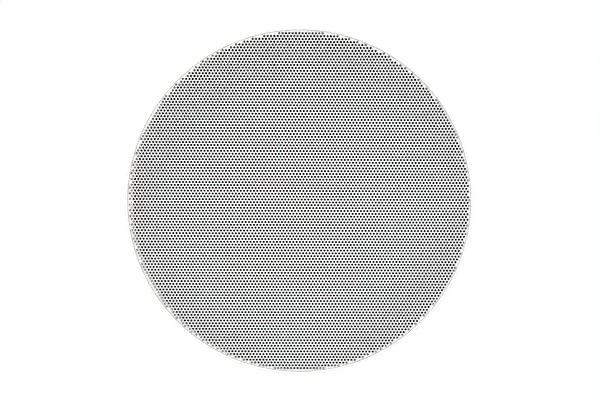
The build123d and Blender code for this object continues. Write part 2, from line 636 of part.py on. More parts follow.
def tweeter_faceplate():
    """Front ring whose mouth opens towards the room."""
    throat = DOME_LIP_RADIUS - DOME_LIP + DOME_SHEET + TWEETER_THROAT_PLAY
    return turned(section(
        (throat, HOUSING_FRONT), (TWEETER_RADIUS, HOUSING_FRONT),
        (TWEETER_RADIUS, TWEETER_FRONT_DEPTH + FLANGE_EDGE),
        (TWEETER_RADIUS - FLANGE_EDGE, TWEETER_FRONT_DEPTH), (throat + TWEETER_FLARE, TWEETER_FRONT_DEPTH),
        (throat, HOUSING_FRONT - DOME_SHEET)))


def tweeter_dome():
    """Cloth dome, roll and lip in one, lying on the yoke and the coil."""
    roll_outer = DOME_LIP_RADIUS - DOME_LIP
    roll_inner = roll_outer - 2 * DOME_ROLL
    dome = DOME_RADIUS
    cap_radius = (dome ** 2 + DOME_HEIGHT ** 2) / (2 * DOME_HEIGHT)
    half_way = math.asin(dome / cap_radius) / 2
    crown = (cap_radius * math.sin(half_way),
             DOME_BASE - DOME_HEIGHT + cap_radius * (1 - math.cos(half_way)))
    path = [Line((DOME_LIP_RADIUS, DOME_BASE), (roll_outer, DOME_BASE)),
            ThreePointArc((roll_outer, DOME_BASE), ((roll_outer + roll_inner) / 2, DOME_BASE - DOME_ROLL),
                          (roll_inner, DOME_BASE)),
            Line((roll_inner, DOME_BASE), (dome, DOME_BASE)),
            ThreePointArc((dome, DOME_BASE), crown, (0, DOME_BASE - DOME_HEIGHT))]
    return turned(pressed(Curve() + path, DOME_SHEET, Side.LEFT))


def tweeter_coil():
    return ring(DOME_RADIUS, TWEETER_COIL_OUTER, DOME_BASE, DOME_BASE + TWEETER_COIL_HEIGHT)


def tweeter_yoke():
    outer = TWEETER_GAP_RADIUS + TWEETER_YOKE_WALL
    return turned(section(
        (POST_BORE / 2, TWEETER_YOKE_INSIDE), (TWEETER_GAP_RADIUS, TWEETER_YOKE_INSIDE),
        (TWEETER_GAP_RADIUS, DOME_BASE), (outer, DOME_BASE), (outer, HOUSING_FLOOR),
        (POST_BORE / 2, HOUSING_FLOOR)))


def tweeter_magnet():
    return ring(POST_BORE / 2, TWEETER_POLE_RADIUS - TWEETER_GAP_PLAY, TWEETER_MAGNET_FRONT,
                TWEETER_YOKE_INSIDE)


def tweeter_pole_plate():
    return ring(POST_BORE / 2, TWEETER_POLE_RADIUS, TWEETER_POLE_FRONT, TWEETER_MAGNET_FRONT)


# Crossover board, upright on the +X side of the frame

def board_place(y, level):
    """Place on the board's outer face, with local +Z pointing away from the speaker's axis."""
    return Pos(BOARD_FACE, y, level) * Rot(0, 90, 0)


def board_screw_place(side, level):
    """Place of a screw's seat on the board, with local +Z pointing in through the post."""
    return Pos(BOARD_FACE, side * BOARD_SCREW_Y, level) * Rot(0, -90, 0)


def crossover_board():
    board = block((BOARD_STANDOFF, BOARD_FACE), (-BOARD_WIDTH / 2, BOARD_WIDTH / 2),
                  (BOARD_BOTTOM, BOARD_TOP))
    hole = peg(BOARD_SCREW_DIAMETER / 2 + SCREW_HOLE_PLAY, 0, BOARD_THICKNESS)
    return board - [board_screw_place(side, level) * hole
                    for side in (-1, 1) for level in BOARD_SCREW_LEVELS]


def board_screws():
    screw = pan_screw(BOARD_HEAD_DIAMETER / 2, BOARD_HEAD_HEIGHT, BOARD_SCREW_DIAMETER / 2,
                      BOARD_SCREW_LENGTH, BOARD_SCREW_DIAMETER / 4)
    return Part() + [board_screw_place(side, level) * screw
                     for side in (-1, 1) for level in BOARD_SCREW_LEVELS]


def inductor_bobbin():
    """Flanged reel that stands on the board."""
    outer = BOBBIN_DIAMETER / 2
    reel = turned(section(
        (BOBBIN_BORE / 2, 0), (outer, 0), (outer, BOBBIN_FLANGE), (BOBBIN_CORE / 2, BOBBIN_FLANGE),
        (BOBBIN_CORE / 2, BOBBIN_HEIGHT - BOBBIN_FLANGE), (outer, BOBBIN_HEIGHT - BOBBIN_FLANGE),
        (outer, BOBBIN_HEIGHT), (BOBBIN_BORE / 2, BOBBIN_HEIGHT)))
    return board_place(INDUCTOR_Y, INDUCTOR_LEVEL) * reel


def inductor_winding():
    coil = ring(BOBBIN_CORE / 2, BOBBIN_DIAMETER / 2 - WINDING_MARGIN, BOBBIN_FLANGE,
                BOBBIN_HEIGHT - BOBBIN_FLANGE)
    return board_place(INDUCTOR_Y, INDUCTOR_LEVEL) * coil


def crossover_capacitor():
    """Round film capacitor lying along the board."""
    radius = CAPACITOR_DIAMETER / 2
    can = Cylinder(radius, CAPACITOR_LENGTH)
    can = fillet(can.edges().filter_by(GeomType.CIRCLE), radius / 4)
    return board_place(CAPACITOR_Y, CAPACITOR_LEVEL) * Pos(0, 0, radius) * Rot(90, 0, 0) * can


def crossover_resistor():
    """Square ceramic resistor lying along the board."""
    body = Box(RESISTOR_WIDTH, RESISTOR_LENGTH, RESISTOR_WIDTH, align=UPRIGHT)
    body = fillet(body.edges().filter_by(Axis.Y), RESISTOR_WIDTH / 10)
    return board_place(RESISTOR_Y, RESISTOR_LEVEL) * body


# Push terminals

def terminal_block():
    """Moulded block with a pocket for each button and a wire hole in its outer face."""
    width = (TERMINAL_Y - TERMINAL_WIDTH / 2, TERMINAL_Y + TERMINAL_WIDTH / 2)
    body = block((BOARD_FACE, BOARD_FACE + TERMINAL_DEPTH), width, (TERMINAL_BOTTOM, TERMINAL_TOP))
    body = fillet(body.edges().filter_by(Axis.Z).sort_by(Axis.X)[-2:], TERMINAL_ROUND)
    wire_hole = Rot(0, 90, 0) * peg(WIRE_HOLE_DIAMETER / 2, 0, TERMINAL_DEPTH)
    for y in BUTTON_PLACES:
        body -= button_block(y, BUTTON_PLAY, (POCKET_FLOOR, TERMINAL_TOP))
        body -= Pos(BUTTON_X, y, WIRE_HOLE_LEVEL) * wire_hole
    return body


def button_block(y, play, levels):
    """Upright block of a button's section between two levels, larger all round by a play."""
    half_depth = BUTTON_DEPTH / 2 + play
    half_width = BUTTON_WIDTH / 2 + play
    return block((BUTTON_X - half_depth, BUTTON_X + half_depth), (y - half_width, y + half_width), levels)


def terminal_contacts():
    """Brass strips on the floors of the two pockets, under the wire holes."""
    return Part() + [button_block(y, 0, (POCKET_FLOOR, CONTACT_TOP)) for y in BUTTON_PLACES]


def terminal_button(y):
    """Push button standing proud of its pocket, with its top edges rounded."""
    button = button_block(y, 0, (BUTTON_BOTTOM, BUTTON_BOTTOM + BUTTON_LENGTH))
    return fillet(button.faces().sort_by(Axis.Z)[-1].edges(), BUTTON_ROUND)


def pieces():
    """Every piece of the speaker by name."""
    makers = (grille, grille_scrim, grille_magnets, mounting_frame, woofer_basket, woofer_gasket,
              woofer_screws, woofer_surround, woofer_cone, voice_coil_former, voice_coil, spider,
              top_plate, ferrite_magnet, pole_yoke, woofer_terminal, tweeter_post, tweeter_housing,
              tweeter_faceplate, tweeter_dome, tweeter_coil, tweeter_yoke, tweeter_magnet,
              tweeter_pole_plate, crossover_board, board_screws, inductor_bobbin, inductor_winding,
              crossover_capacitor, crossover_resistor, terminal_block, terminal_contacts)
    made = {maker.__name__: maker() for maker in makers}
    for number, angle in enumerate(CLAMP_ANGLES, start=1):
        made[f"clamp_{number}"] = parked_clamp(angle)
        made[f"clamp_screw_{number}"] = clamp_screw(angle)
    made["terminal_button_black"] = terminal_button(BUTTON_PLACES[0])
    made["terminal_button_red"] = terminal_button(BUTTON_PLACES[1])
    return made


def main():
    os.makedirs("parts", exist_ok=True)
    for name, shape in pieces().items():
        export_step(shape, f"parts/{name}.step")


if __name__ == "__main__":
    main()
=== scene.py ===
import math
from typing import NamedTuple

import bmesh
import bpy
from bpy.props import FloatProperty, FloatVectorProperty, IntProperty, PointerProperty
from mathutils import Matrix, Vector
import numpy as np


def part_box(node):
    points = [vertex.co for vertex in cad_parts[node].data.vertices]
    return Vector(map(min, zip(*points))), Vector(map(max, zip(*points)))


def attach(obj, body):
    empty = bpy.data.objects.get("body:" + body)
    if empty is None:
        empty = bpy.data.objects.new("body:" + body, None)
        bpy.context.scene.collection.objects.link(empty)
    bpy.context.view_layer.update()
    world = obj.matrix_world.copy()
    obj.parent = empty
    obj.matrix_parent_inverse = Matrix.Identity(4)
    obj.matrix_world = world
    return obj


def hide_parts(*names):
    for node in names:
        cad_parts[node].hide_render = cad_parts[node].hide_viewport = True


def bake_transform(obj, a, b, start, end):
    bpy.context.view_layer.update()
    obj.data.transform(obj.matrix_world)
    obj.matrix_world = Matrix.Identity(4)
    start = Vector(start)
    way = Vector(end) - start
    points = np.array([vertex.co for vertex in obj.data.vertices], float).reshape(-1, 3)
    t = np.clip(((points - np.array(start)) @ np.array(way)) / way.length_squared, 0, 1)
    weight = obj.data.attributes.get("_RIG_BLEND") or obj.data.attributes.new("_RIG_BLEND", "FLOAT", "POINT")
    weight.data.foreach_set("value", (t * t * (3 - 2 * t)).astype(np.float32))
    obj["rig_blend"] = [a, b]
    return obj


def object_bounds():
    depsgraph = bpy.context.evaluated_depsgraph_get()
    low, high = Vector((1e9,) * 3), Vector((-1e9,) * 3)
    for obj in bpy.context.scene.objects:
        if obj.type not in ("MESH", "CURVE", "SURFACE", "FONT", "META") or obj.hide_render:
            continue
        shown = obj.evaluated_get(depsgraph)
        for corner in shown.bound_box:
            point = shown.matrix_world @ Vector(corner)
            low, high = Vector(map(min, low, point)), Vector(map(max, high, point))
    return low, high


bl_info = {
    "name": "In-ceiling speaker",
    "version": (1, 0, 0),
    "blender": (4, 5, 0),
    "location": "View3D > Sidebar > Speaker",
    "description": "Finishes and fine pieces of a round in-ceiling speaker, with its stage",
    "category": "Object",
}

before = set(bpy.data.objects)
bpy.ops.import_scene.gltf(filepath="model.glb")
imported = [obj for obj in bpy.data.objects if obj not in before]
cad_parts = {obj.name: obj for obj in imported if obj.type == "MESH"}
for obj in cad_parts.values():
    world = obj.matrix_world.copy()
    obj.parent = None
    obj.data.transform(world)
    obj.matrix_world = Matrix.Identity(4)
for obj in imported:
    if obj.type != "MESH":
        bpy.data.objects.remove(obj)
cad_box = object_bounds()

MM = 0.001
FULL_TURN = 2 * math.pi
ROUND_STEPS = 192
WELD = 0.002 * MM
SHARP_ANGLE = math.radians(35)
# How far a wave texture's phase runs over one unit of length
WAVE_RADIANS = 20
# Part of a pattern's range that a finish's two shades span, if it doesn't say
SHADE_SPAN = (0.3, 0.7)
ROUND_BEVEL = {"profile": 0.5, "affect": "EDGES", "material": -1}
# Numbers of the colour sockets of a Mix node, whose names repeat
MIX_COLOURS = (6, 7)
MIX_RESULT = 2


# Colours and nodes

def linear(hex_code):
    """Linear colour, with alpha, of an sRGB hex code."""
    parts = [int(hex_code[i:i + 2], 16) / 255 for i in (1, 3, 5)]
    return [c / 12.92 if c <= 0.04045 else ((c + 0.055) / 1.055) ** 2.4 for c in parts] + [1.0]


def tint(colour, share):
    """A share of a colour, darker or lighter, or another colour given by its hex code."""
    if isinstance(share, str):
        return linear(share)
    return [min(1.0, c * share) for c in colour[:3]] + [1.0]


def add_node(tree, kind, settings=None, inputs=None):
    """Adds a node with its settings, and gives its inputs values or links by name or number."""
    node = tree.nodes.new(kind)
    for name, value in (settings or {}).items():
        setattr(node, name, value)
    for key, value in (inputs or {}).items():
        if isinstance(value, bpy.types.NodeSocket):
            tree.links.new(value, node.inputs[key])
        else:
            node.inputs[key].default_value = value
    return node


def begin_material(name, colour, shader):
    """New material of an even colour: the material, its node tree, its shader and Object coordinates."""
    material = bpy.data.materials.new(name)
    material.use_nodes = True
    tree = material.node_tree
    surface = tree.nodes["Principled BSDF"]
    surface.inputs["Base Color"].default_value = colour
    for key, value in shader.items():
        surface.inputs[key].default_value = value
    place = add_node(tree, "ShaderNodeTexCoord").outputs["Object"]
    return material, tree, surface, place


# Patterns of the finishes, with sizes in mm. Each is drawn in a tree over its Object coordinates, as a grey.

def mottle(size, detail=2.0, stretch=None):
    """Cloudy blotches about a size across, finer along an axis by its stretch."""
    def draw(tree, place):
        if stretch:
            mapped = add_node(tree, "ShaderNodeMapping", inputs={"Vector": place, "Scale": stretch})
            place = mapped.outputs["Vector"]
        noise = add_node(tree, "ShaderNodeTexNoise", inputs={
            "Vector": place, "Scale": 1 / (size * MM), "Detail": detail})
        return noise.outputs["Fac"]
    return draw


def stripes(spacing, settings, distortion=0.0):
    """Soft lines a spacing apart, as straight bands or as rings."""
    def draw(tree, place):
        wave = add_node(tree, "ShaderNodeTexWave", settings, {
            "Vector": place, "Scale": FULL_TURN / WAVE_RADIANS / (spacing * MM), "Distortion": distortion})
        return wave.outputs["Fac"]
    return draw


def weave(spacing, turn=None):
    """Plain weave of two crossed sets of threads, a spacing apart, over X and Y or turned from there."""
    def draw(tree, place):
        if turn:
            mapped = add_node(tree, "ShaderNodeMapping", inputs={"Vector": place, "Rotation": turn})
            place = mapped.outputs["Vector"]
        threads = [stripes(spacing, {"bands_direction": way})(tree, place) for way in "XY"]
        over = add_node(tree, "ShaderNodeMath", {"operation": "MAXIMUM"}, {0: threads[0], 1: threads[1]})
        return over.outputs["Value"]
    return draw


def cells(size):
    """Round cells about a size across."""
    def draw(tree, place):
        pits = add_node(tree, "ShaderNodeTexVoronoi", inputs={"Vector": place, "Scale": 1 / (size * MM)})
        return pits.outputs["Distance"]
    return draw


# Finishes

class Finish(NamedTuple):
    """How a real material is drawn: its name, colour, roughness and other shader values, and its patterns.

    The colour is a hex code or the name of a colour setting. Relief is a pattern and its depth in mm.
    Shade is a pattern, its dark and its light as shares of the colour or as hex codes, and the part of
    the pattern's range that they span. Dull is a pattern, the lowest roughness and the highest. The last
    field is a ring of painted shade that stands in for the shading of the grille's bend: its colour, the
    distance from the grille's edge to the ring, and half its width, in mm.
    """

    name: str
    colour: str
    rough: float = 0.5
    shader: dict = {}
    relief: tuple = ()
    shade: tuple = ()
    dull: tuple = ()
    line: tuple = ()


METAL = {"Metallic": 1.0}
GLASS_FLECKS = mottle(0.9, 4.0, (1.0, 1.0, 4.0))
UPRIGHT_CLOTH = weave(0.7, (0, math.pi / 2, 0))
LATHE_RINGS = stripes(0.5, {"wave_type": "RINGS", "rings_direction": "Z"}, 1.5)
BLACK_ABS = Finish("moulded_black_abs", "black_plastic", 0.45, relief=(mottle(0.6), 0.02),
                   dull=(mottle(4), 0.38, 0.52))
FINISHES = {
    # Polyester powder baked on steel sheet: satin white, faint orange peel, and a grey ring of painted shade
    # near the edge where the bend turns from the light
    "powder_coat_white": Finish(
        "powder_coated_steel", "powder_coat", 0.5, relief=(mottle(0.8), 0.02), shade=(mottle(30), 0.985, 1.0),
        line=("#C2B9B2", 0.75, 0.45)),
    # Thin black polyester cloth: matt, with open threads half a millimetre apart
    "scrim_cloth": Finish("scrim_cloth", "scrim", 0.95, {"Specular IOR Level": 0.05},
                          relief=(weave(0.5), 0.1), shade=(weave(0.5), 0.4, 1.0)),
    # Bright nickel over a pressed magnet disc: warm mirror with a soft haze
    "magnet_nickel": Finish("nickel_plate", "#CFCAC0", shader=METAL, dull=(mottle(1.5), 0.15, 0.35)),
    # ABS moulded in a spark-eroded tool: satin warm white. The grain is drawn coarser than its 0.2 mm to show
    "frame_plastic": Finish("moulded_abs", "frame_plastic", 0.5, relief=(mottle(0.7, 3.0), 0.04),
                            shade=(mottle(45), 0.95, 1.0), dull=(mottle(6), 0.45, 0.6)),
    # Glass-filled nylon: dark, with short pale flecks of glass and a dull skin
    "clamp_nylon": Finish("glass_filled_nylon", "clamp_nylon", 0.55, relief=(GLASS_FLECKS, 0.03),
                          shade=(GLASS_FLECKS, 0.8, 1.6, 0.45, 0.75)),
    # Steel screws in clear zinc: bluish bright metal with a cloudy passivated film
    "zinc_screw": Finish("zinc_plated_screw", "#C3C6C9", shader=METAL,
                         shade=(mottle(2.5), "#B4B4AE", "#CCD0D4"), dull=(mottle(2.5), 0.22, 0.4)),
    # Black stove enamel on pressed steel: half gloss with a slight ripple over the drawn metal
    "basket_enamel": Finish("stove_enamel", "basket_enamel", 0.38, relief=(mottle(1.2), 0.03),
                            shade=(mottle(20), 0.8, 1.25), dull=(mottle(9), 0.32, 0.46)),
    # Closed-cell foam strip: dark and matt, pitted with cells about a millimetre wide
    "gasket_foam": Finish("cell_foam", "#2B2B2C", 0.95, relief=(cells(0.9), 0.2)),
    # Moulded butyl rubber: deep black, soft sheen and a dusty bloom
    "surround_rubber": Finish("butyl_rubber", "rubber", 0.6, relief=(mottle(0.5), 0.01),
                              shade=(mottle(4, 4.0), 1.0, 1.8)),
    # Moulded polypropylene: charcoal with mica flecks and a smooth half gloss
    "cone_polypropylene": Finish("polypropylene_cone", "cone", 0.4, dull=(mottle(5), 0.34, 0.5),
                                 shade=(mottle(0.6, 5.0), 1.0, 2.2, 0.5, 0.8)),
    # Thin rolled aluminium: pale metal with fine lines along the roll
    "former_aluminium": Finish("rolled_aluminium", "#C9C9C7", shader=METAL,
                               dull=(mottle(0.3, stretch=(0.05, 0.05, 1.0)), 0.25, 0.45)),
    # Copper wire in clear enamel: warm metal under a thin gloss coat
    "copper_wire": Finish(
        "enamelled_copper", "copper", 0.3, {"Metallic": 0.9, "Coat Weight": 0.6, "Coat Roughness": 0.12},
        shade=(mottle(3), 0.75, 1.0)),
    # Cotton cloth stiffened with resin: amber, with a plain weave of 0.6 mm threads
    "spider_cloth": Finish("resin_cloth", "spider", 0.8, relief=(weave(0.6), 0.15),
                           shade=(weave(0.6), 0.45, 1.0, 0.2, 0.9)),
    # Zinc-plated steel plate: satin grey metal with the lathe's fine rings, half a millimetre apart
    "plated_steel": Finish("turned_steel", "#909497", shader=METAL, relief=(LATHE_RINGS, 0.01),
                           shade=(mottle(12), "#8A8D8D", "#969A9D"), dull=(mottle(12), 0.44, 0.5)),
    # Pressed and fired ferrite: charcoal ceramic, matt, with fine pits and paler dust
    "ferrite": Finish("sintered_ferrite", "ferrite", 0.75, relief=(mottle(1.1, 6.0), 0.06),
                      shade=(mottle(1.1, 6.0), 0.7, 1.5, 0.35, 0.75)),
    # Black ABS mouldings: even satin with a fine grain
    "tweeter_plastic": BLACK_ABS,
    "terminal_plastic": BLACK_ABS,
    "button_black": BLACK_ABS,
    # Silk dome with a tacky coating: brown-black, finely woven, with a soft gloss
    "dome_silk": Finish("coated_silk", "#2A2522", 0.45, relief=(weave(0.35), 0.04)),
    # Paper phenolic strip: brown resin board with faint fibres
    "tag_board": Finish("paper_phenolic", "#6A4528", 0.5, shade=(mottle(1.4, 5.0), "#54351E", "#7C5432")),
    # Glass-epoxy board under green solder mask: gloss skin over a woven glass cloth
    "circuit_board": Finish("solder_mask", "board", 0.35, {"Coat Weight": 0.4, "Coat Roughness": 0.2},
                            relief=(UPRIGHT_CLOTH, 0.02), shade=(UPRIGHT_CLOTH, 0.8, 1.0)),
    # Copper tracks under green solder mask: brighter and yellower than the bare board, with a wavy gloss
    "board_track": Finish("masked_copper", "track", 0.3, {"Coat Weight": 0.5, "Coat Roughness": 0.15},
                          relief=(mottle(2), 0.03), shade=(mottle(5), 0.85, 1.0)),
    # Natural nylon moulding: milky, slightly clouded and smooth
    "bobbin_plastic": Finish(
        "natural_nylon", "#E5DFCF", 0.45, {"Subsurface Weight": 0.1, "Subsurface Radius": (MM, MM, MM)},
        shade=(mottle(5), "#D8D0BC", "#EAE5D8")),
    # Yellow polyester tape round a film capacitor: glossy, with the tape's faint turns
    "capacitor_film": Finish("polyester_wrap", "capacitor", 0.3,
                             shade=(stripes(2.2, {"bands_direction": "Z"}, 3.0), 0.88, 1.0)),
    # Cast epoxy at a capacitor's ends: darker amber with a wet gloss
    "capacitor_ends": Finish("cast_epoxy", "#A8741B", 0.25, relief=(mottle(3), 0.2)),
    # Unglazed ceramic body with cement: chalky white and finely pitted
    "resistor_ceramic": Finish("fired_ceramic", "#E1DDD2", 0.85, relief=(mottle(0.7, 5.0), 0.08),
                               shade=(mottle(0.7, 5.0), "#CBC6B9", "#E8E5DC")),
    # Red ABS button: satin, with a fine grain
    "button_red": Finish("moulded_red_abs", "button_red", 0.4, relief=(mottle(0.5), 0.02),
                         shade=(mottle(5), 0.85, 1.0)),
    # Rolled spring brass: yellow metal with a light tarnish
    "contact_brass": Finish("spring_brass", "#B8964A", shader=METAL, dull=(mottle(2), 0.25, 0.45)),
    # Tin solder and tinned wire: bright grey metal, wavy where it froze
    "solder": Finish("tinned_solder", "#BEC0C0", shader=METAL, relief=(mottle(0.8), 0.05),
                     dull=(mottle(0.8), 0.2, 0.38)),
    # Black epoxy squeezed out at the magnet's joints: smooth and glossy
    "glue": Finish("magnet_glue", "#131313", 0.3, relief=(mottle(3), 0.1)),
}
CLAMP_NUMBERS = (1, 2, 3, 4)
# CAD nodes that stay in view, by finish
NODES = {
    "magnet_nickel": ("grille_magnets", "tweeter_magnet"), "frame_plastic": ("mounting_frame",),
    "basket_enamel": ("woofer_basket",), "gasket_foam": ("woofer_gasket",),
    "cone_polypropylene": ("woofer_cone",), "former_aluminium": ("voice_coil_former",),
    "copper_wire": ("voice_coil", "tweeter_coil"), "ferrite": ("ferrite_magnet",),
    "plated_steel": ("top_plate", "pole_yoke", "tweeter_yoke", "tweeter_pole_plate"),
    "tweeter_plastic": ("tweeter_post", "tweeter_housing", "tweeter_faceplate"),
    "dome_silk": ("tweeter_dome",), "circuit_board": ("crossover_board",),
    "bobbin_plastic": ("inductor_bobbin",), "resistor_ceramic": ("crossover_resistor",),
    "terminal_plastic": ("terminal_block",), "contact_brass": ("terminal_contacts",),
    "button_red": ("terminal_button_red",), "button_black": ("terminal_button_black",),
    "clamp_nylon": [f"clamp_{number}" for number in CLAMP_NUMBERS],
}
finishes = {}


def finish(slot):
    """The material of a finish, made once."""
    if slot not in finishes:
        finishes[slot] = make_material(FINISHES[slot])
    return finishes[slot]


def make_material(look):
    """New material of a finish."""
    own = look.colour.startswith("#")
    colour = linear(look.colour) if own else getattr(bpy.context.scene.speaker_colours, look.colour)
    shader = {"Roughness": look.rough, **look.shader}
    material, tree, surface, place = begin_material(look.name, colour, shader)
    if look.relief:
        pattern, depth = look.relief
        bump = add_node(tree, "ShaderNodeBump", inputs={
            "Height": pattern(tree, place), "Distance": depth * MM})
        tree.links.new(bump.outputs["Normal"], surface.inputs["Normal"])
    if look.shade:
        pattern, dark, light, *span = look.shade
        ramp = add_node(tree, "ShaderNodeValToRGB", inputs={"Fac": pattern(tree, place)})
        for stop, position, share in zip(ramp.color_ramp.elements, span or SHADE_SPAN, (dark, light)):
            stop.position = position
            stop.color = tint(colour, share)
        tree.links.new(ramp.outputs["Color"], surface.inputs["Base Color"])
    if look.dull:
        pattern, low, high = look.dull
        spread = add_node(tree, "ShaderNodeMapRange", inputs={
            "Value": pattern(tree, place), "To Min": low, "To Max": high})
        tree.links.new(spread.outputs["Result"], surface.inputs["Roughness"])
    # A ring of painted shade near the grille's edge, in place of the bend's own shading
    if look.line:
        draw_painted_shade_ring(tree, surface, place, *look.line)
    return material


def draw_painted_shade_ring(tree, surface, place, hex_code, inset, half):
    """Paints a thin ring of painted shade, for the bend's shading, over the surface's colour, an inset in
    from the grille's edge, fading to both sides.
    """
    level = add_node(tree, "ShaderNodeVectorMath", {"operation": "MULTIPLY"}, {0: place, 1: (1, 1, 0)})
    reach = add_node(tree, "ShaderNodeVectorMath", {"operation": "LENGTH"}, {0: level.outputs["Vector"]})
    off = add_node(tree, "ShaderNodeMath", {"operation": "SUBTRACT"}, {
        0: reach.outputs["Value"], 1: cad_box[1].x - inset * MM})
    away = add_node(tree, "ShaderNodeMath", {"operation": "ABSOLUTE"}, {0: off.outputs["Value"]})
    fade = add_node(tree, "ShaderNodeMapRange", {"interpolation_type": "SMOOTHSTEP"}, {
        "Value": away.outputs["Value"], "From Min": 0.0, "From Max": half * MM, "To Min": 1.0, "To Max": 0.0})
    shaded = surface.inputs["Base Color"].links[0].from_socket
    ring = add_node(tree, "ShaderNodeMix", {"data_type": "RGBA"}, {
        "Factor": fade.outputs["Result"], MIX_COLOURS[0]: shaded, MIX_COLOURS[1]: linear(hex_code)})
    tree.links.new(ring.outputs[MIX_RESULT], surface.inputs["Base Color"])


# Mesh work

def arc(centre, radius, start, end, count):
    """Points of an arc between two angles in degrees, both ends included, as radius across and height."""
    angles = [math.radians(start + (end - start) * i / count) for i in range(count + 1)]
    return [(centre[0] + radius * math.cos(a), centre[1] + radius * math.sin(a)) for a in angles]


def turned(profile, steps=ROUND_STEPS, closed=True):
    """Ring or solid of a closed profile of (radius, height) points about Z, or the skin of an open one."""
    bm = bmesh.new()
    corners = [bm.verts.new((radius, 0, height)) for radius, height in profile]
    sides = [bm.edges.new(pair) for pair in zip(corners, corners[1:] + corners[:closed])]
    bmesh.ops.spin(bm, geom=corners + sides, cent=(0, 0, 0), axis=(0, 0, 1), angle=FULL_TURN,
                   steps=steps, use_merge=True)
    return bm


def verts_of(made):
    """The vertices among what a mesh operator made."""
    return [part for part in made["geom"] if isinstance(part, bmesh.types.BMVert)]


def copy_along(bm, step):
    """Doubles what a mesh holds, with the copy a step away."""
    copied = bmesh.ops.duplicate(bm, geom=bm.verts[:] + bm.edges[:] + bm.faces[:])
    bmesh.ops.translate(bm, vec=step, verts=verts_of(copied))


def thicken(bm, step):
    """Gives a flat sheet a thickness, by a copy of its faces a step away and walls between."""
    walls = bmesh.ops.extrude_face_region(bm, geom=bm.faces[:], use_keep_orig=True)
    bmesh.ops.translate(bm, vec=step, verts=verts_of(walls))


def join_mesh(bm, other, place=Matrix()):
    """Adds another mesh at a place, and frees it."""
    bmesh.ops.transform(other, matrix=place, verts=other.verts)
    mesh = bpy.data.meshes.new("joined")
    other.to_mesh(mesh)
    other.free()
    bm.from_mesh(mesh)
    bpy.data.meshes.remove(mesh)


def link_mesh(bm, name, materials):
    """Turns a finished mesh into an object at the origin, and frees it."""
    mesh = bpy.data.meshes.new(name)
    bm.to_mesh(mesh)
    bm.free()
    for material in materials:
        mesh.materials.append(material)
    item = bpy.data.objects.new(name, mesh)
    bpy.context.scene.collection.objects.link(item)
    return item


def make_piece(bm, name, slots, sharp=SHARP_ANGLE):
    """Turns a finished mesh into a piece, with faces outwards and round forms smooth."""
    bmesh.ops.remove_doubles(bm, verts=bm.verts, dist=WELD)
    bmesh.ops.recalc_face_normals(bm, faces=bm.faces)
    piece = link_mesh(bm, name, [finish(slot) for slot in slots])
    piece.data.shade_smooth()
    piece.data.set_sharp_from_angle(angle=sharp)
    return piece


def ride_speaker(piece, slot, *nodes):
    """Fixes a piece to the speaker's body, in place of CAD nodes. The slot is not used."""
    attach(piece, "speaker")
    if nodes:
        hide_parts(*nodes)


def follow_cone(piece, node, still_radius, moving_radius):
    """Lets a ring stretch between the basket and the cone: still at one radius, moving at the other."""
    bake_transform(piece, "speaker", "cone", start=(still_radius, 0, 0), end=(moving_radius, 0, 0))
    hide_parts(node)
    shares = piece.data.attributes["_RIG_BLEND"].data
    for vertex, share in zip(piece.data.vertices, shares):
        radius = math.hypot(vertex.co.x, vertex.co.y)
        along = min(1.0, max(0.0, (still_radius - radius) / (still_radius - moving_radius)))
        share.value = along * along * (3 - 2 * along)


# Settings

def length_setting(name, description, size):
    """A setting for a length, from a size in mm."""
    return FloatProperty(name=name, description=description, default=size * MM, unit="LENGTH", precision=5)


def offset_setting(name, description, x, y):
    """A setting for a place on the grille's face, from mm."""
    return FloatVectorProperty(name=name, description=description, default=(x * MM, y * MM), size=2,
                               unit="LENGTH", precision=5)


def colour_setting(name, description, hex_code):
    """A setting for a colour."""
    return FloatVectorProperty(name=name, description=description, default=linear(hex_code), size=4,
                               subtype="COLOR")


class GrilleSettings(bpy.types.PropertyGroup):
    """Sizes of the perforated sheet and of the cloth behind it"""

    pitch: length_setting("Hole pitch", "Distance between neighbouring holes", 2.1925)
    hole: length_setting("Hole diameter", "Diameter of one punched hole", 1.57)
    sides: IntProperty(name="Hole sides", description="Sides of the polygon that stands for a hole",
                       default=12)
    turn: FloatProperty(name="Pattern turn", description="Turn of the rows of holes about the axis",
                        default=math.radians(0.294), subtype="ANGLE")
    shift: offset_setting("Pattern shift", "How far off centre the rows of holes lie", 0.285, -0.07)
    sheet: length_setting("Sheet", "Thickness of the steel sheet", 0.8)
    bend: length_setting("Bend", "Outer radius of the bend at the rim", 1.8)
    margin: length_setting("Plain margin", "Width of the sheet's edge that has no holes", 6.35)
    cloth: length_setting("Cloth diameter", "Size that the scrim cloth was cut to", 225.8)
    cloth_shift: offset_setting("Cloth shift", "How far off centre the cloth was laid", 2.0, -0.1)
    cloth_play: length_setting("Cloth play", "Gap that the cloth keeps to the bend", 0.6)


class ColourSettings(bpy.types.PropertyGroup):
    """Colours of the speaker's finishes"""

    powder_coat: colour_setting("Powder coat", "Grille", "#F3F3F3")
    scrim: colour_setting("Scrim", "Cloth behind the grille", "#040404")
    frame_plastic: colour_setting("Frame", "Moulded mounting frame", "#EDE8E1")
    clamp_nylon: colour_setting("Clamps", "Swing-out clamps", "#2A2B2D")
    basket_enamel: colour_setting("Basket", "Woofer basket", "#202122")
    rubber: colour_setting("Surround", "Rubber roll round the cone", "#161616")
    cone: colour_setting("Cone", "Woofer cone", "#2B2D30")
    copper: colour_setting("Copper", "Windings", "#B8642F")
    spider: colour_setting("Spider", "Corrugated centring cloth", "#B98B45")
    ferrite: colour_setting("Ferrite", "Ring magnet", "#3E3F42")
    black_plastic: colour_setting("Black plastic", "Terminals and tweeter", "#1B1B1C")
    board: colour_setting("Board", "Crossover board", "#1F6040")
    track: colour_setting("Tracks", "Masked copper on the board's back", "#3C8A4E")
    capacitor: colour_setting("Capacitor", "Tape round the capacitor", "#D9A625")
    button_red: colour_setting("Red button", "Positive terminal", "#B0201B")


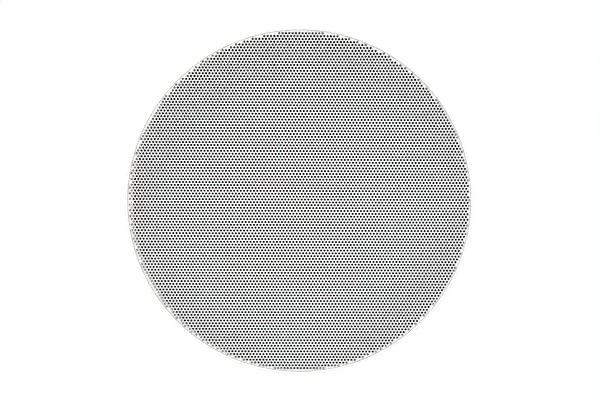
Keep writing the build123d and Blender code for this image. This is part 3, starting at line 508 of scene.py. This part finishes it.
class StageSettings(bpy.types.PropertyGroup):
    """Camera, floor and light"""

    distance: length_setting("Camera distance", "From the camera to the grille's face", 1085)
    tilt: FloatVectorProperty(name="Camera tilt", description="How far left of and above square on it stands",
                              default=(math.radians(0.909), math.radians(5.649)), size=2, subtype="EULER")
    lens: FloatProperty(name="Lens", description="Focal length of the camera", default=97.81, unit="CAMERA")
    aim: offset_setting("Aim", "Point of the grille at the picture's middle", 0.229, -1.675)
    floor: length_setting("Floor", "Width of the floor", 8000)
    floor_play: length_setting("Floor play", "Gap between the grille and the floor round it", 0.8)


# Pieces of the grille

class SPEAKER_OT_grille(bpy.types.Operator):
    """Punched sheet pressed to a shallow dish, in four quarters"""

    bl_idname = "speaker.grille"
    bl_label = "Grille"

    CELL_DOUBLINGS = 6

    def execute(self, context):
        sizes = context.scene.speaker_grille
        pattern = self.pattern(sizes)
        count = 2 ** self.CELL_DOUBLINGS
        across = Vector((count * sizes.pitch, 0, 0))
        along = Vector((0, count * sizes.pitch * math.sqrt(3) / 2, 0))
        corners = (Vector(), -across, -along, -across - along)
        for number, corner in enumerate(corners, start=1):
            quarter = pattern.copy()
            bmesh.ops.translate(quarter, vec=corner, verts=quarter.verts)
            self.quarter(quarter, sizes, number)
        pattern.free()
        return {"FINISHED"}

    def pattern(self, sizes):
        """Flat block of six-sided cells, each round one hole, large enough for a quarter of the grille."""
        corner = math.sqrt(FULL_TURN / sizes.sides / math.sin(FULL_TURN / sizes.sides))
        bm = bmesh.new()
        bmesh.ops.create_circle(bm, segments=6, radius=sizes.pitch / math.sqrt(3))
        bmesh.ops.create_circle(bm, segments=sizes.sides, radius=sizes.hole / 2 * corner)
        bmesh.ops.bridge_loops(bm, edges=bm.edges)
        row = sizes.pitch * math.sqrt(3) / 2
        copy_along(bm, Vector((sizes.pitch / 2, row, 0)))
        for doubling in range(self.CELL_DOUBLINGS):
            copy_along(bm, Vector((sizes.pitch * 2 ** doubling, 0, 0)))
        for doubling in range(1, self.CELL_DOUBLINGS):
            copy_along(bm, Vector((0, row * 2 ** doubling, 0)))
        return bm

    def quarter(self, bm, sizes, number):
        """Cuts a block of cells to the round blank, closes its margin, thickens it and presses the dish."""
        low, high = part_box("grille")
        flat = high.x - sizes.bend
        bent = (sizes.bend - sizes.sheet / 2) * math.pi / 2
        blank = flat + bent + high.z - low.z - sizes.bend
        bmesh.ops.rotate(bm, matrix=Matrix.Rotation(sizes.turn, 3, "Z"), verts=bm.verts)
        bmesh.ops.translate(bm, vec=(*sizes.shift, 0), verts=bm.verts)
        outside = [f for f in bm.faces if min(v.co.length for v in f.verts) >= blank]
        bmesh.ops.delete(bm, geom=outside, context="FACES")
        for vertex in bm.verts:
            if vertex.co.length > blank:
                vertex.co *= blank / vertex.co.length
        bmesh.ops.remove_doubles(bm, verts=bm.verts, dist=WELD)
        bmesh.ops.dissolve_degenerate(bm, edges=bm.edges, dist=WELD)
        punched = blank - sizes.margin - sizes.hole / 2
        rims = [e for e in bm.edges if e.is_boundary and min(v.co.length for v in e.verts) > punched]
        bmesh.ops.holes_fill(bm, edges=rims, sides=sizes.sides)
        thicken(bm, (0, 0, sizes.sheet))
        for vertex in bm.verts:
            reach = math.hypot(vertex.co.x, vertex.co.y)
            past = reach - flat
            if past > 0:
                angle = math.pi / 2 * min(past / bent, 1.0)
                arm = sizes.bend - vertex.co.z
                drawn = (flat + arm * math.sin(angle)) / reach
                rise = sizes.bend - arm * math.cos(angle) + max(past - bent, 0.0)
                vertex.co = (vertex.co.x * drawn, vertex.co.y * drawn, rise)
        bmesh.ops.translate(bm, vec=(0, 0, low.z), verts=bm.verts)
        piece = make_piece(bm, f"grille_sheet_{number}", ["powder_coat_white"])
        ride_speaker(piece, "powder_coat_white", "grille")


class SPEAKER_OT_scrim(bpy.types.Operator):
    """Black cloth laid by hand behind the holes, a little off centre, and trimmed where it meets the bend"""

    bl_idname = "speaker.scrim"
    bl_label = "Scrim cloth"

    def execute(self, context):
        sizes = context.scene.speaker_grille
        low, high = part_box("grille_scrim")
        radius = sizes.cloth / 2
        bm = bmesh.new()
        bmesh.ops.create_circle(bm, cap_ends=True, segments=ROUND_STEPS, radius=radius)
        bmesh.ops.translate(bm, vec=(*sizes.cloth_shift, low.z), verts=bm.verts)
        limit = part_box("grille")[1].x - sizes.bend - sizes.cloth_play
        for vertex in bm.verts:
            vertex.co.xy *= min(1.0, limit / vertex.co.xy.length)
        area = sum(f.calc_area() for f in bm.faces)
        thicken(bm, (0, 0, high.z - low.z))
        piece = make_piece(bm, "scrim", ["scrim_cloth"])
        ride_speaker(piece, "scrim_cloth", "grille_scrim")
        return {"FINISHED"}


# Pieces that move with the cone

class SPEAKER_OT_suspension(bpy.types.Operator):
    """Rubber half roll and corrugated cloth that stretch between the basket and the cone"""

    bl_idname = "speaker.suspension"
    bl_label = "Surround and spider"

    ROLL = 5.0 * MM
    ROLL_STEPS = 20
    ROLL_FOOT = 7
    RUBBER = 0.6 * MM
    LAND = 4.5 * MM
    LIP = 3.8 * MM
    CLOTH = 0.5 * MM
    EDGE = 4.0 * MM
    SPIDER_DROP = 1.2 * MM
    WAVES = 5
    WAVE_HEIGHT = 1.04 * MM
    WAVE_STEPS = 8

    def execute(self, context):
        self.surround()
        self.spider()
        return {"FINISHED"}

    def surround(self):
        """Half roll with a flat lip under the gasket and a land on the cone."""
        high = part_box("woofer_surround")[1]
        outer, back = high.x, high.z
        front = back - self.RUBBER
        middle = outer - self.LIP - self.ROLL
        moving = middle - self.ROLL
        inner = moving - self.LAND
        profile = [(inner, back), (inner, front)]
        profile += arc((middle, back), self.ROLL + self.RUBBER, 180 + self.ROLL_FOOT, 360 - self.ROLL_FOOT,
                       self.ROLL_STEPS)
        profile += [(outer, front), (outer, back)]
        profile += arc((middle, back), self.ROLL, 360, 180, self.ROLL_STEPS)
        piece = make_piece(turned(profile), "surround_roll", ["surround_rubber"])
        follow_cone(piece, "woofer_surround", middle + self.ROLL, moving)

    def spider(self):
        """Even round waves between the flat edge on the basket and the ring on the former."""
        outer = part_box("spider")[1].x
        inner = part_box("voice_coil_former")[1].x
        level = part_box("woofer_terminal")[0].z - self.SPIDER_DROP
        still = outer - 2 * self.EDGE
        moving = inner + self.EDGE
        count = 2 * self.WAVES * self.WAVE_STEPS
        middle = [(outer, level)]
        for i in range(count + 1):
            share = i / count
            height = -self.WAVE_HEIGHT * math.sin(FULL_TURN * self.WAVES * share)
            middle.append((still + (moving - still) * share, level + height))
        middle.append((inner, level))
        profile = [(r, z - self.CLOTH) for r, z in middle] + [(r, z) for r, z in reversed(middle)]
        piece = make_piece(turned(profile), "spider_cloth", ["spider_cloth"])
        follow_cone(piece, "spider", still, moving)


# Screws

class SPEAKER_OT_screws(bpy.types.Operator):
    """Pan-head screws with cross recesses and rolled threads"""

    bl_idname = "speaker.screws"
    bl_label = "Screws"

    STEPS = 24
    THREAD_STEPS = 20
    THREAD_DEPTH = 0.16
    # Height of the head, radius of the shank and pitch of the thread
    CLAMP_SCREW = (3.0 * MM, 2.0 * MM, 1.4 * MM)
    WOOFER_SCREW = (1.8 * MM, 1.5 * MM, 1.1 * MM)
    BOARD_SCREW = (1.7 * MM, 1.25 * MM, 0.9 * MM)
    WOOFER_HEAD = 2.4 * MM
    BOARD_HEAD = 2.5 * MM
    # Shares of the head's radius or height
    HEAD_FLAT = 0.62
    HEAD_SIDE = 0.45
    HEAD_STEPS = 6
    CROSS_ARM = 0.5
    CROSS_WING = 0.12
    CROSS_DEPTH = 0.6
    CROSS_TAPER = 0.55
    # One tooth of the thread: whether at the crest, and how far along the pitch
    TOOTH = ((0, 0), (1, 0.4), (1, 0.55), (0, 0.95), (0, 1))
    # Length and end of the point, as shares of the root's radius
    POINT = 0.8
    TIP = 0.35

    def execute(self, context):
        for number in CLAMP_NUMBERS:
            low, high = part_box(f"clamp_screw_{number}")
            middle = (low + high) / 2
            foot = (middle.x, middle.y, low.z + self.CLAMP_SCREW[0])
            screw = self.screw((high.x - low.x) / 2, self.CLAMP_SCREW, high.z - low.z)
            bmesh.ops.translate(screw, vec=foot, verts=screw.verts)
            piece = make_piece(screw, f"clamp_screw_threaded_{number}", ["zinc_screw"])
            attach(piece, f"clamp_screw_{number}")
            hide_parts(f"clamp_screw_{number}")
        low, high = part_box("woofer_screws")
        rim = Matrix.Translation((high.x - self.WOOFER_HEAD, 0, low.z + self.WOOFER_SCREW[0]))
        places = [Matrix.Rotation(FULL_TURN * quarter / 4, 4, "Z") @ rim for quarter in range(4)]
        self.group("woofer_screws", self.WOOFER_HEAD, self.WOOFER_SCREW, high.z - low.z, places)
        low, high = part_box("board_screws")
        inwards = Matrix.Rotation(-math.pi / 2, 4, "Y")
        places = [Matrix.Translation((high.x - self.BOARD_SCREW[0], y, z)) @ inwards
                  for y in (low.y + self.BOARD_HEAD, high.y - self.BOARD_HEAD)
                  for z in (low.z + self.BOARD_HEAD, high.z - self.BOARD_HEAD)]
        self.group("board_screws", self.BOARD_HEAD, self.BOARD_SCREW, high.x - low.x, places)
        return {"FINISHED"}

    def group(self, node, radius, sizes, total, places):
        """One piece of equal screws at several places, for a CAD node."""
        bm = bmesh.new()
        for place in places:
            join_mesh(bm, self.screw(radius, sizes, total), place)
        ride_speaker(make_piece(bm, f"{node}_threaded", ["zinc_screw"]), "zinc_screw", node)

    def screw(self, radius, sizes, total):
        """Screw along +Z with its head, of a radius, below z = 0, and a total length."""
        head, shank, pitch = sizes
        bm = self.head(radius, head)
        join_mesh(bm, self.thread(shank * (1 - self.THREAD_DEPTH), shank, total - head, pitch))
        return bm

    def head(self, radius, height):
        """Pan head with a rounded rim and a cross recess that narrows inwards."""
        flat, side = radius * self.HEAD_FLAT, height * self.HEAD_SIDE
        profile = [(0, 0), (radius, 0), (radius, -side)]
        for i in range(1, self.HEAD_STEPS + 1):
            angle = math.pi / 2 * i / self.HEAD_STEPS
            across = flat + (radius - flat) * math.cos(angle)
            profile.append((across, -side - (height - side) * math.sin(angle)))
        bm = turned(profile, self.STEPS, closed=False)
        bmesh.ops.remove_doubles(bm, verts=bm.verts, dist=WELD)
        rim = [e for e in bm.edges if e.is_boundary]
        arm, wing = radius * self.CROSS_ARM, radius * self.CROSS_WING
        cross = [(arm, -wing), (arm, wing), (wing, wing)]
        outline = []
        for quarter in range(4):
            turn = Matrix.Rotation(FULL_TURN * quarter / 4, 2)
            outline += [bm.verts.new((*(turn @ Vector(point)), -height)) for point in cross]
        slots = [bm.edges.new(pair) for pair in zip(outline, outline[1:] + outline[:1])]
        bmesh.ops.bridge_loops(bm, edges=rim + slots)
        floor = verts_of(bmesh.ops.extrude_edge_only(bm, edges=slots))
        bmesh.ops.scale(bm, vec=(self.CROSS_TAPER, self.CROSS_TAPER, 1), verts=floor)
        bmesh.ops.translate(bm, vec=(0, 0, height * self.CROSS_DEPTH), verts=floor)
        bmesh.ops.contextual_create(bm, geom=[e for e in bm.edges if e.is_boundary])
        return bm

    def thread(self, root, crest, length, pitch):
        """Helical ridge from the head up to a short plain point."""
        point = root * self.POINT
        turns = int((length - point) / pitch) - 1
        bm = bmesh.new()
        tooth = [bm.verts.new(((root, crest)[out], 0, pitch * along)) for out, along in self.TOOTH]
        flanks = [bm.edges.new(pair) for pair in zip(tooth, tooth[1:])]
        bmesh.ops.spin(bm, geom=tooth + flanks, cent=(0, 0, 0), axis=(0, 0, 1), angle=FULL_TURN * turns,
                       steps=turns * self.THREAD_STEPS, dvec=(0, 0, pitch / self.THREAD_STEPS))
        bmesh.ops.remove_doubles(bm, verts=bm.verts, dist=WELD)
        bmesh.ops.holes_fill(bm, edges=[e for e in bm.edges if e.is_boundary], sides=0)
        top = turns * pitch
        end = [(0, top), (root, top), (root, length - point), (root * self.TIP, length), (0, length)]
        join_mesh(bm, turned(end, self.THREAD_STEPS))
        return bm


# Crossover

class SPEAKER_OT_tag_strip(bpy.types.Operator):
    """Phenolic strip on the basket, with two tinned solder tags riveted to it"""

    bl_idname = "speaker.tag_strip"
    bl_label = "Tag strip"

    TAG = (10.0 * MM, 4.0 * MM, 0.6 * MM)
    SPACING = 14.0 * MM
    EYE = 0.9 * MM
    RIVET = 1.4 * MM
    RIVET_HEAD = 0.6 * MM
    CORNER = 2.0 * MM
    CORNER_STEPS = 5
    EDGE = 0.2 * MM
    EDGE_STEPS = 2
    STEPS = 24

    def execute(self, context):
        low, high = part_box("woofer_terminal")
        length, width, sheet = self.TAG
        top = high.z - sheet
        bm = self.strip(low, Vector((high.x - length / 2, high.y, top)))
        tinned = bmesh.new()
        for side in (-1, 1):
            y = (low.y + high.y) / 2 + side * self.SPACING / 2
            eye = Matrix.Translation((high.x - width / 2, y, top))
            join_mesh(tinned, self.tag(length, width, sheet), eye)
            foot = Matrix.Translation((high.x - length + width / 2, y, high.z))
            head = [(0, 0)] + arc((0, 0), self.RIVET, 0, 90, self.CORNER_STEPS)
            dome = Matrix.Diagonal((1, 1, self.RIVET_HEAD / self.RIVET, 1))
            join_mesh(tinned, turned(head, self.STEPS), foot @ dome)
        for face in tinned.faces:
            face.material_index = 1
        join_mesh(bm, tinned)
        ride_speaker(make_piece(bm, "tag_strip", ["tag_board", "solder"]), "tag_board", "woofer_terminal")
        return {"FINISHED"}

    def strip(self, low, high):
        """Flat strip with its two outer corners rounded and its edges broken."""
        bm = bmesh.new()
        size = Matrix.Diagonal((*(high - low), 1))
        bmesh.ops.create_cube(bm, size=1, matrix=Matrix.Translation((low + high) / 2) @ size)
        outer = [e for e in bm.edges if all(v.co.x > low.x + WELD for v in e.verts)
                 and abs(e.verts[0].co.y - e.verts[1].co.y) < WELD]
        bmesh.ops.bevel(bm, geom=outer, offset=self.CORNER, segments=self.CORNER_STEPS, **ROUND_BEVEL)
        rims = [e for e in bm.edges if e.calc_face_angle() > SHARP_ANGLE]
        bmesh.ops.bevel(bm, geom=rims, offset=self.EDGE, segments=self.EDGE_STEPS, **ROUND_BEVEL)
        return bm

    def tag(self, length, width, sheet):
        """Flat tag along X with round ends and an eye in its outer one."""
        bm = bmesh.new()
        bmesh.ops.create_circle(bm, segments=self.STEPS, radius=width / 2)
        inner = [v for v in bm.verts if v.co.x < WELD]
        bmesh.ops.translate(bm, vec=(width - length, 0, 0), verts=inner)
        bmesh.ops.create_circle(bm, segments=self.STEPS, radius=self.EYE)
        bmesh.ops.bridge_loops(bm, edges=bm.edges)
        thicken(bm, (0, 0, sheet))
        return bm


class SPEAKER_OT_crossover(bpy.types.Operator):
    """Winding, capacitor, leads, solder and tracks on the crossover board"""

    bl_idname = "speaker.crossover"
    bl_label = "Crossover parts"

    WIRE = 0.8 * MM
    CORE = 6.0 * MM
    COIL_STEPS = 96
    # How far each turn rounds to its sides, in degrees, and the angle up to which the turns are smooth
    TURN_SPREAD = 80
    TURN_CREASE = math.radians(60)
    TAPE_LIP = 0.35 * MM
    TAPE_STAND = 0.5 * MM
    TAPE_STEPS = 64
    ARC_STEPS = 5
    LEAD = 0.8 * MM
    LEAD_REACH = 1.1 * MM
    LEAD_ROOT = 1.0 * MM
    LEAD_BEND = 0.6 * LEAD_REACH
    LEAD_STEPS = 10
    PIN_LEVEL = 4.0 * MM
    COIL_PIN = (4.0 * MM, 1.0 * MM)
    # Outline of a solder joint, as radius and height in mm
    JOINT = ((0, 0), (0.85, 0), (0.8, 0.25), (0.5, 0.8), (0.3, 1.2), (0, 1.25))
    JOINT_STEPS = 16
    TRACK = 0.1 * MM
    TRACK_CORNER = 1.2 * MM
    TRACK_STEPS = 4
    # Outlines of the copper on the board's back, across and up in mm, each round the joints that it links
    TRACKS = (
        ((8, 44), (17, 44), (17, 29), (23.7, 29), (23.7, 15.5), (-15, 15.5), (-15, 20.5), (4.5, 20.5),
         (4.5, 36.5), (8, 40)),
        ((-4, 22), (3, 22), (3, 36), (-4, 36)),
        ((18.5, 30.5), (23.7, 30.5), (23.7, 48.5), (18.5, 48.5)),
        ((-10, 37.5), (3, 37.5), (6.5, 41), (6.5, 45.5), (17, 45.5), (17, 48.5), (-10, 48.5)),
        ((-23.7, 15.5), (-16.5, 15.5), (-16.5, 22), (-11.5, 27), (-11.5, 48.5), (-23.7, 48.5)),
    )

    def execute(self, context):
        self.winding()
        self.capacitor()
        self.leads()
        self.tracks()
        return {"FINISHED"}

    def winding(self):
        """Outer layer of the coil's turns, lying side by side round the bobbin."""
        low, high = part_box("inductor_winding")
        radius = (high.z - low.z) / 2
        width = high.x - low.x
        count = int(width / self.WIRE)
        pitch = width / count
        profile = [(self.CORE, 0)]
        for i in range(count):
            centre = (radius - pitch / 2, pitch * (i + 0.5))
            profile += arc(centre, pitch / 2, -self.TURN_SPREAD, self.TURN_SPREAD, self.ARC_STEPS)
        profile += [(self.CORE, width)]
        bm = turned(profile, self.COIL_STEPS)
        middle = (low + high) / 2
        place = Matrix.Translation((low.x, middle.y, middle.z)) @ Matrix.Rotation(math.pi / 2, 4, "Y")
        bmesh.ops.transform(bm, matrix=place, verts=bm.verts)
        piece = make_piece(bm, "inductor_turns", ["copper_wire"], self.TURN_CREASE)
        ride_speaker(piece, "copper_wire", "inductor_winding")

    def capacitor(self):
        """Film capacitor wrapped in tape that stands past its cast ends."""
        low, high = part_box("crossover_capacitor")
        radius, half = (high.x - low.x) / 2, (high.y - low.y) / 2
        lip, end = self.TAPE_LIP, half - self.TAPE_STAND
        side = arc((radius - lip, half - lip), lip, 0, 90, self.ARC_STEPS)
        side += [(radius - 2 * lip, end), (0, end)]
        profile = side + [(r, -z) for r, z in reversed(side)]
        bm = turned(profile, self.TAPE_STEPS)
        bmesh.ops.remove_doubles(bm, verts=bm.verts, dist=WELD)
        for face in bm.faces:
            middle = face.calc_center_median()
            if math.hypot(middle.x, middle.y) < radius - 2 * lip:
                face.material_index = 1
        place = Matrix.Translation((low + high) / 2) @ Matrix.Rotation(math.pi / 2, 4, "X")
        bmesh.ops.transform(bm, matrix=place, verts=bm.verts)
        piece = make_piece(bm, "capacitor_wrapped", ["capacitor_film", "capacitor_ends"])
        ride_speaker(piece, "capacitor_film", "crossover_capacitor")

    def leads(self):
        """Tinned leads from each component down into the board, and their solder on its back."""
        board_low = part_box("crossover_board")[0]
        wires, solder = bmesh.new(), bmesh.new()
        for node in ("crossover_capacitor", "crossover_resistor"):
            low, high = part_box(node)
            middle = (low + high) / 2
            for end, way in ((low.y, -1), (high.y, 1)):
                start = Vector((middle.x, end, middle.z))
                self.lead(wires, start, way, middle.x - board_low.x)
                foot = Vector((board_low.x, end + way * self.LEAD_REACH, middle.z))
                self.joint(solder, foot)
        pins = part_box("terminal_block")[0].z + self.PIN_LEVEL
        for node in ("terminal_button_red", "terminal_button_black"):
            low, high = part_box(node)
            self.joint(solder, Vector((board_low.x, (low.y + high.y) / 2, pins)))
        low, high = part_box("inductor_bobbin")
        across, up = self.COIL_PIN
        for side in (-1, 1):
            self.joint(solder, Vector((board_low.x, (low.y + high.y) / 2 + side * across, low.z + up)))
        ride_speaker(make_piece(wires, "component_leads", ["solder"]), "zinc_screw")
        ride_speaker(make_piece(solder, "solder_joints", ["solder"]), "zinc_screw")

    def tracks(self):
        """Areas of masked copper on the board's back. They stand as high as they need to show."""
        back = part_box("crossover_board")[0].x
        bm = bmesh.new()
        for outline in self.TRACKS:
            bm.faces.new([bm.verts.new((back, y * MM, z * MM)) for y, z in outline])
        bmesh.ops.bevel(bm, geom=bm.verts[:], offset=self.TRACK_CORNER, segments=self.TRACK_STEPS,
                        **{**ROUND_BEVEL, "affect": "VERTICES"})
        thicken(bm, (-self.TRACK, 0, 0))
        ride_speaker(make_piece(bm, "board_tracks", ["board_track"]), "circuit_board")

    def lead(self, bm, start, way, drop):
        """Round wire out of a component's end, bent down through the board."""
        bend = self.LEAD_BEND
        root = start - Vector((0, way * self.LEAD_ROOT, 0))
        tube = bmesh.new()
        bmesh.ops.create_circle(tube, cap_ends=True, segments=self.LEAD_STEPS, radius=self.LEAD / 2,
                                matrix=Matrix.Translation(root) @ Matrix.Rotation(math.pi / 2, 4, "X"))
        self.draw_out(tube, Vector((0, way * (self.LEAD_ROOT + self.LEAD_REACH - bend), 0)))
        corner = start + Vector((-bend, way * (self.LEAD_REACH - bend), 0))
        end = self.end_face(tube, Vector((0, way, 0)))
        bmesh.ops.spin(tube, geom=[end, *end.edges, *end.verts], cent=corner, axis=(0, 0, 1),
                       angle=way * math.pi / 2, steps=self.ARC_STEPS)
        self.draw_out(tube, Vector((-(drop - bend), 0, 0)))
        join_mesh(bm, tube)

    def end_face(self, bm, way):
        """The face that lies furthest along a way."""
        return max(bm.faces, key=lambda f: f.calc_center_median().dot(way))

    def draw_out(self, bm, step):
        """Extrudes a wire's leading face by a step."""
        end = self.end_face(bm, step)
        drawn = bmesh.ops.extrude_face_region(bm, geom=[end])
        bmesh.ops.translate(bm, vec=step, verts=verts_of(drawn))

    def joint(self, bm, foot):
        """Small cone of solder on the back of the board."""
        profile = [(radius * MM, height * MM) for radius, height in self.JOINT]
        place = Matrix.Translation(foot) @ Matrix.Rotation(-math.pi / 2, 4, "Y")
        join_mesh(bm, turned(profile, self.JOINT_STEPS), place)


class SPEAKER_OT_magnet_glue(bpy.types.Operator):
    """Beads of glue where the plates meet the ring magnet"""

    bl_idname = "speaker.magnet_glue"
    bl_label = "Magnet glue"

    BEAD = 0.9 * MM
    BEAD_STEPS = 5
    LIFT = 0.02 * MM
    STEPS = 96

    def execute(self, context):
        low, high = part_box("ferrite_magnet")
        sides = (("glue_front", "top_plate", low.z, -1), ("glue_back", "pole_yoke", high.z, 1))
        for name, node, level, way in sides:
            inner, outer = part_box(node)[1].x - self.BEAD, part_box(node)[1].x + self.BEAD
            foot, top = level + way * self.LIFT, level + way * self.BEAD
            profile = [(inner, foot), (outer, foot)]
            profile += arc((outer, top), self.BEAD, -90 * way, -180 * way, self.BEAD_STEPS)[1:]
            profile += [(inner, top)]
            piece = make_piece(turned(profile, self.STEPS), name, ["glue"])
            ride_speaker(piece, "terminal_plastic")
        return {"FINISHED"}


class SPEAKER_OT_finishes(bpy.types.Operator):
    """Gives every CAD piece that stays in view its finish"""

    bl_idname = "speaker.finishes"
    bl_label = "Finishes"

    def execute(self, context):
        for slot, nodes in NODES.items():
            for node in nodes:
                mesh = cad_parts[node].data
                mesh.materials.clear()
                mesh.materials.append(finish(slot))
        return {"FINISHED"}


# Stage

class SPEAKER_OT_stage(bpy.types.Operator):
    """Floor under the grille, white ground in front of it, lamps, world and camera"""

    bl_idname = "speaker.stage"
    bl_label = "Stage"

    # Name, place and width in metres, and power in watts
    LAMPS = (
        ("front_lamp", (-0.5, -0.65, -1.75), 1.2, 22.1),
        ("front_fill", (0.6, 0.55, -1.75), 1.2, 17.0),
        ("key_lamp", (-1.0, -1.5, 1.7), 1.0, 27.0),
        ("side_lamp", (1.7, 0.4, 1.1), 1.0, 16.0),
        ("back_lamp", (-0.4, 1.8, 1.2), 1.0, 16.0),
    )
    MATT = {"Roughness": 0.9}
    WHITE = {"Color": (1, 1, 1, 1), "Strength": 1.0}
    GROUND_DROP = 0.5 * MM
    FADE_START = 250 * MM
    FADE_END = 900 * MM
    HORIZON = 0.1
    GRILLE_SIDE = 0.15
    BACK_SIDE = 0.45
    PIXEL_FILTER = 1.0

    def execute(self, context):
        sizes = context.scene.speaker_stage
        low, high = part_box("grille")
        hole = high.x + sizes.floor_play
        below = low.z - self.GROUND_DROP
        floor = self.ground("floor", sizes.floor, hole, low.z, self.floor_material())
        ground = self.ground("white_ground", sizes.floor, hole, below, self.white_material())
        for name, place, width, power in self.LAMPS:
            self.lamp(name, Vector(place), width, power)
        self.world(context.scene)
        self.camera(context.scene, sizes, low.z)
        return {"FINISHED"}

    def ground(self, name, width, hole, level, material):
        """Wide flat sheet with a round hole that the grille lies in."""
        bm = bmesh.new()
        bmesh.ops.create_circle(bm, segments=ROUND_STEPS, radius=hole)
        bmesh.ops.create_circle(bm, segments=ROUND_STEPS, radius=width / 2)
        bmesh.ops.bridge_loops(bm, edges=bm.edges)
        bmesh.ops.translate(bm, vec=(0, 0, level), verts=bm.verts)
        return link_mesh(bm, name, [material])

    def white_material(self):
        """Ground in front of the grille: plain white to the eye, matt to the light."""
        material, tree, surface, _ = begin_material("white_ground", linear("#E8E8E8"), self.MATT)
        self.whiten_floor(tree, surface, 1.0)
        return material

    def floor_material(self):
        """Pale matt floor that keeps the shadow near the speaker and runs out to white far away."""
        material, tree, surface, place = begin_material("pale_floor", linear("#F2F2F1"), self.MATT)
        away = add_node(tree, "ShaderNodeVectorMath", {"operation": "LENGTH"}, {0: place})
        fade = add_node(tree, "ShaderNodeMapRange", {"interpolation_type": "SMOOTHSTEP"}, {
            "Value": away.outputs["Value"], "From Min": self.FADE_START, "From Max": self.FADE_END})
        self.whiten_floor(tree, surface, fade.outputs["Result"])
        return material

    def whiten_floor(self, tree, surface, share):
        """Shows a ground as plain white, by a share."""
        white = add_node(tree, "ShaderNodeEmission", inputs=self.WHITE)
        self.whiten(tree, "Material Output", surface.outputs["BSDF"], white.outputs["Emission"], share)

    def whiten(self, tree, output, lit, white, share):
        """Mixes in plain white for what the eye, metal and glass see, by a share, over what gives light."""
        path = add_node(tree, "ShaderNodeLightPath")
        seen = path.outputs["Is Camera Ray"]
        for name in ("Is Glossy Ray", "Is Transmission Ray"):
            seen = add_node(tree, "ShaderNodeMath", {"operation": "MAXIMUM"},
                            {0: seen, 1: path.outputs[name]}).outputs["Value"]
        part = add_node(tree, "ShaderNodeMath", {"operation": "MULTIPLY"}, {0: seen, 1: share})
        mix = add_node(tree, "ShaderNodeMixShader", inputs={0: part.outputs["Value"], 1: lit, 2: white})
        tree.links.new(mix.outputs["Shader"], tree.nodes[output].inputs["Surface"])

    def lamp(self, name, place, width, power):
        """Square soft lamp that faces the speaker."""
        data = bpy.data.lights.new(name, "AREA")
        data.size = width
        data.energy = power
        lamp = bpy.data.objects.new(name, data)
        lamp.location = place
        lamp.rotation_euler = (-place).to_track_quat("-Z", "Y").to_euler()
        lamp.visible_camera = False
        bpy.context.scene.collection.objects.link(lamp)

    def world(self, scene):
        """White surroundings to the eye, with soft light from all round, dimmer on the grille's side."""
        world = bpy.data.worlds.new("studio")
        world.use_nodes = True
        scene.world = world
        tree = world.node_tree
        ambient = tree.nodes["Background"]
        ambient.inputs["Color"].default_value = self.WHITE["Color"]
        away = add_node(tree, "ShaderNodeSeparateXYZ", inputs={
            0: add_node(tree, "ShaderNodeTexCoord").outputs["Generated"]})
        level = add_node(tree, "ShaderNodeMapRange", inputs={
            "Value": away.outputs["Z"], "From Min": -self.HORIZON, "From Max": self.HORIZON,
            "To Min": self.GRILLE_SIDE, "To Max": self.BACK_SIDE})
        tree.links.new(level.outputs["Result"], ambient.inputs["Strength"])
        white = add_node(tree, "ShaderNodeBackground", inputs=self.WHITE)
        self.whiten(tree, "World Output", ambient.outputs["Background"], white.outputs["Background"], 1.0)

    def camera(self, scene, sizes, face):
        """Camera under the grille, a little off square, with +X to the right and -Y upwards."""
        data = bpy.data.cameras.new("camera")
        data.lens = sizes.lens
        camera = bpy.data.objects.new("camera", data)
        back = Vector((-math.tan(sizes.tilt[0]), -math.tan(sizes.tilt[1]), -1)).normalized()
        right = Vector((0, -1, 0)).cross(back).normalized()
        turn = Matrix((right, back.cross(right), back)).transposed()
        place = Vector((*sizes.aim, face)) + back * sizes.distance
        camera.matrix_world = Matrix.Translation(place) @ turn.to_4x4()
        scene.collection.objects.link(camera)
        scene.camera = camera
        scene.view_settings.view_transform = "Standard"
        # The holes are about three pixels apart: a narrow pixel filter and unfiltered guides keep them crisp
        scene.cycles.filter_width = self.PIXEL_FILTER
        scene.cycles.denoising_prefilter = "NONE"


class SPEAKER_PT_panel(bpy.types.Panel):
    """Lists the speaker's settings and pieces"""

    bl_label = "In-ceiling speaker"
    bl_idname = "SPEAKER_PT_panel"
    bl_space_type = "VIEW_3D"
    bl_region_type = "UI"
    bl_category = "Speaker"

    def draw(self, context):
        for group in SETTINGS:
            box = self.layout.box()
            settings = getattr(context.scene, group)
            for name in settings.__annotations__:
                box.prop(settings, name)
        for operator in OPERATORS:
            self.layout.operator(operator.bl_idname)


SETTINGS = {
    "speaker_grille": GrilleSettings, "speaker_colours": ColourSettings, "speaker_stage": StageSettings,
}
OPERATORS = (SPEAKER_OT_finishes, SPEAKER_OT_grille, SPEAKER_OT_scrim, SPEAKER_OT_suspension,
             SPEAKER_OT_screws, SPEAKER_OT_tag_strip, SPEAKER_OT_crossover, SPEAKER_OT_magnet_glue,
             SPEAKER_OT_stage)


def register():
    for name, group in SETTINGS.items():
        bpy.utils.register_class(group)
        setattr(bpy.types.Scene, name, PointerProperty(type=group))
    for entry in (*OPERATORS, SPEAKER_PT_panel):
        bpy.utils.register_class(entry)


def unregister():
    for entry in reversed((*OPERATORS, SPEAKER_PT_panel)):
        bpy.utils.unregister_class(entry)
    for name, group in reversed(SETTINGS.items()):
        delattr(bpy.types.Scene, name)
        bpy.utils.unregister_class(group)


def main():
    """Builds every piece and the stage."""
    register()
    bpy.ops.speaker.finishes()
    bpy.ops.speaker.grille()
    bpy.ops.speaker.scrim()
    bpy.ops.speaker.suspension()
    bpy.ops.speaker.screws()
    bpy.ops.speaker.tag_strip()
    bpy.ops.speaker.crossover()
    bpy.ops.speaker.magnet_glue()
    bpy.ops.speaker.stage()


if __name__ == "__main__":
    main()
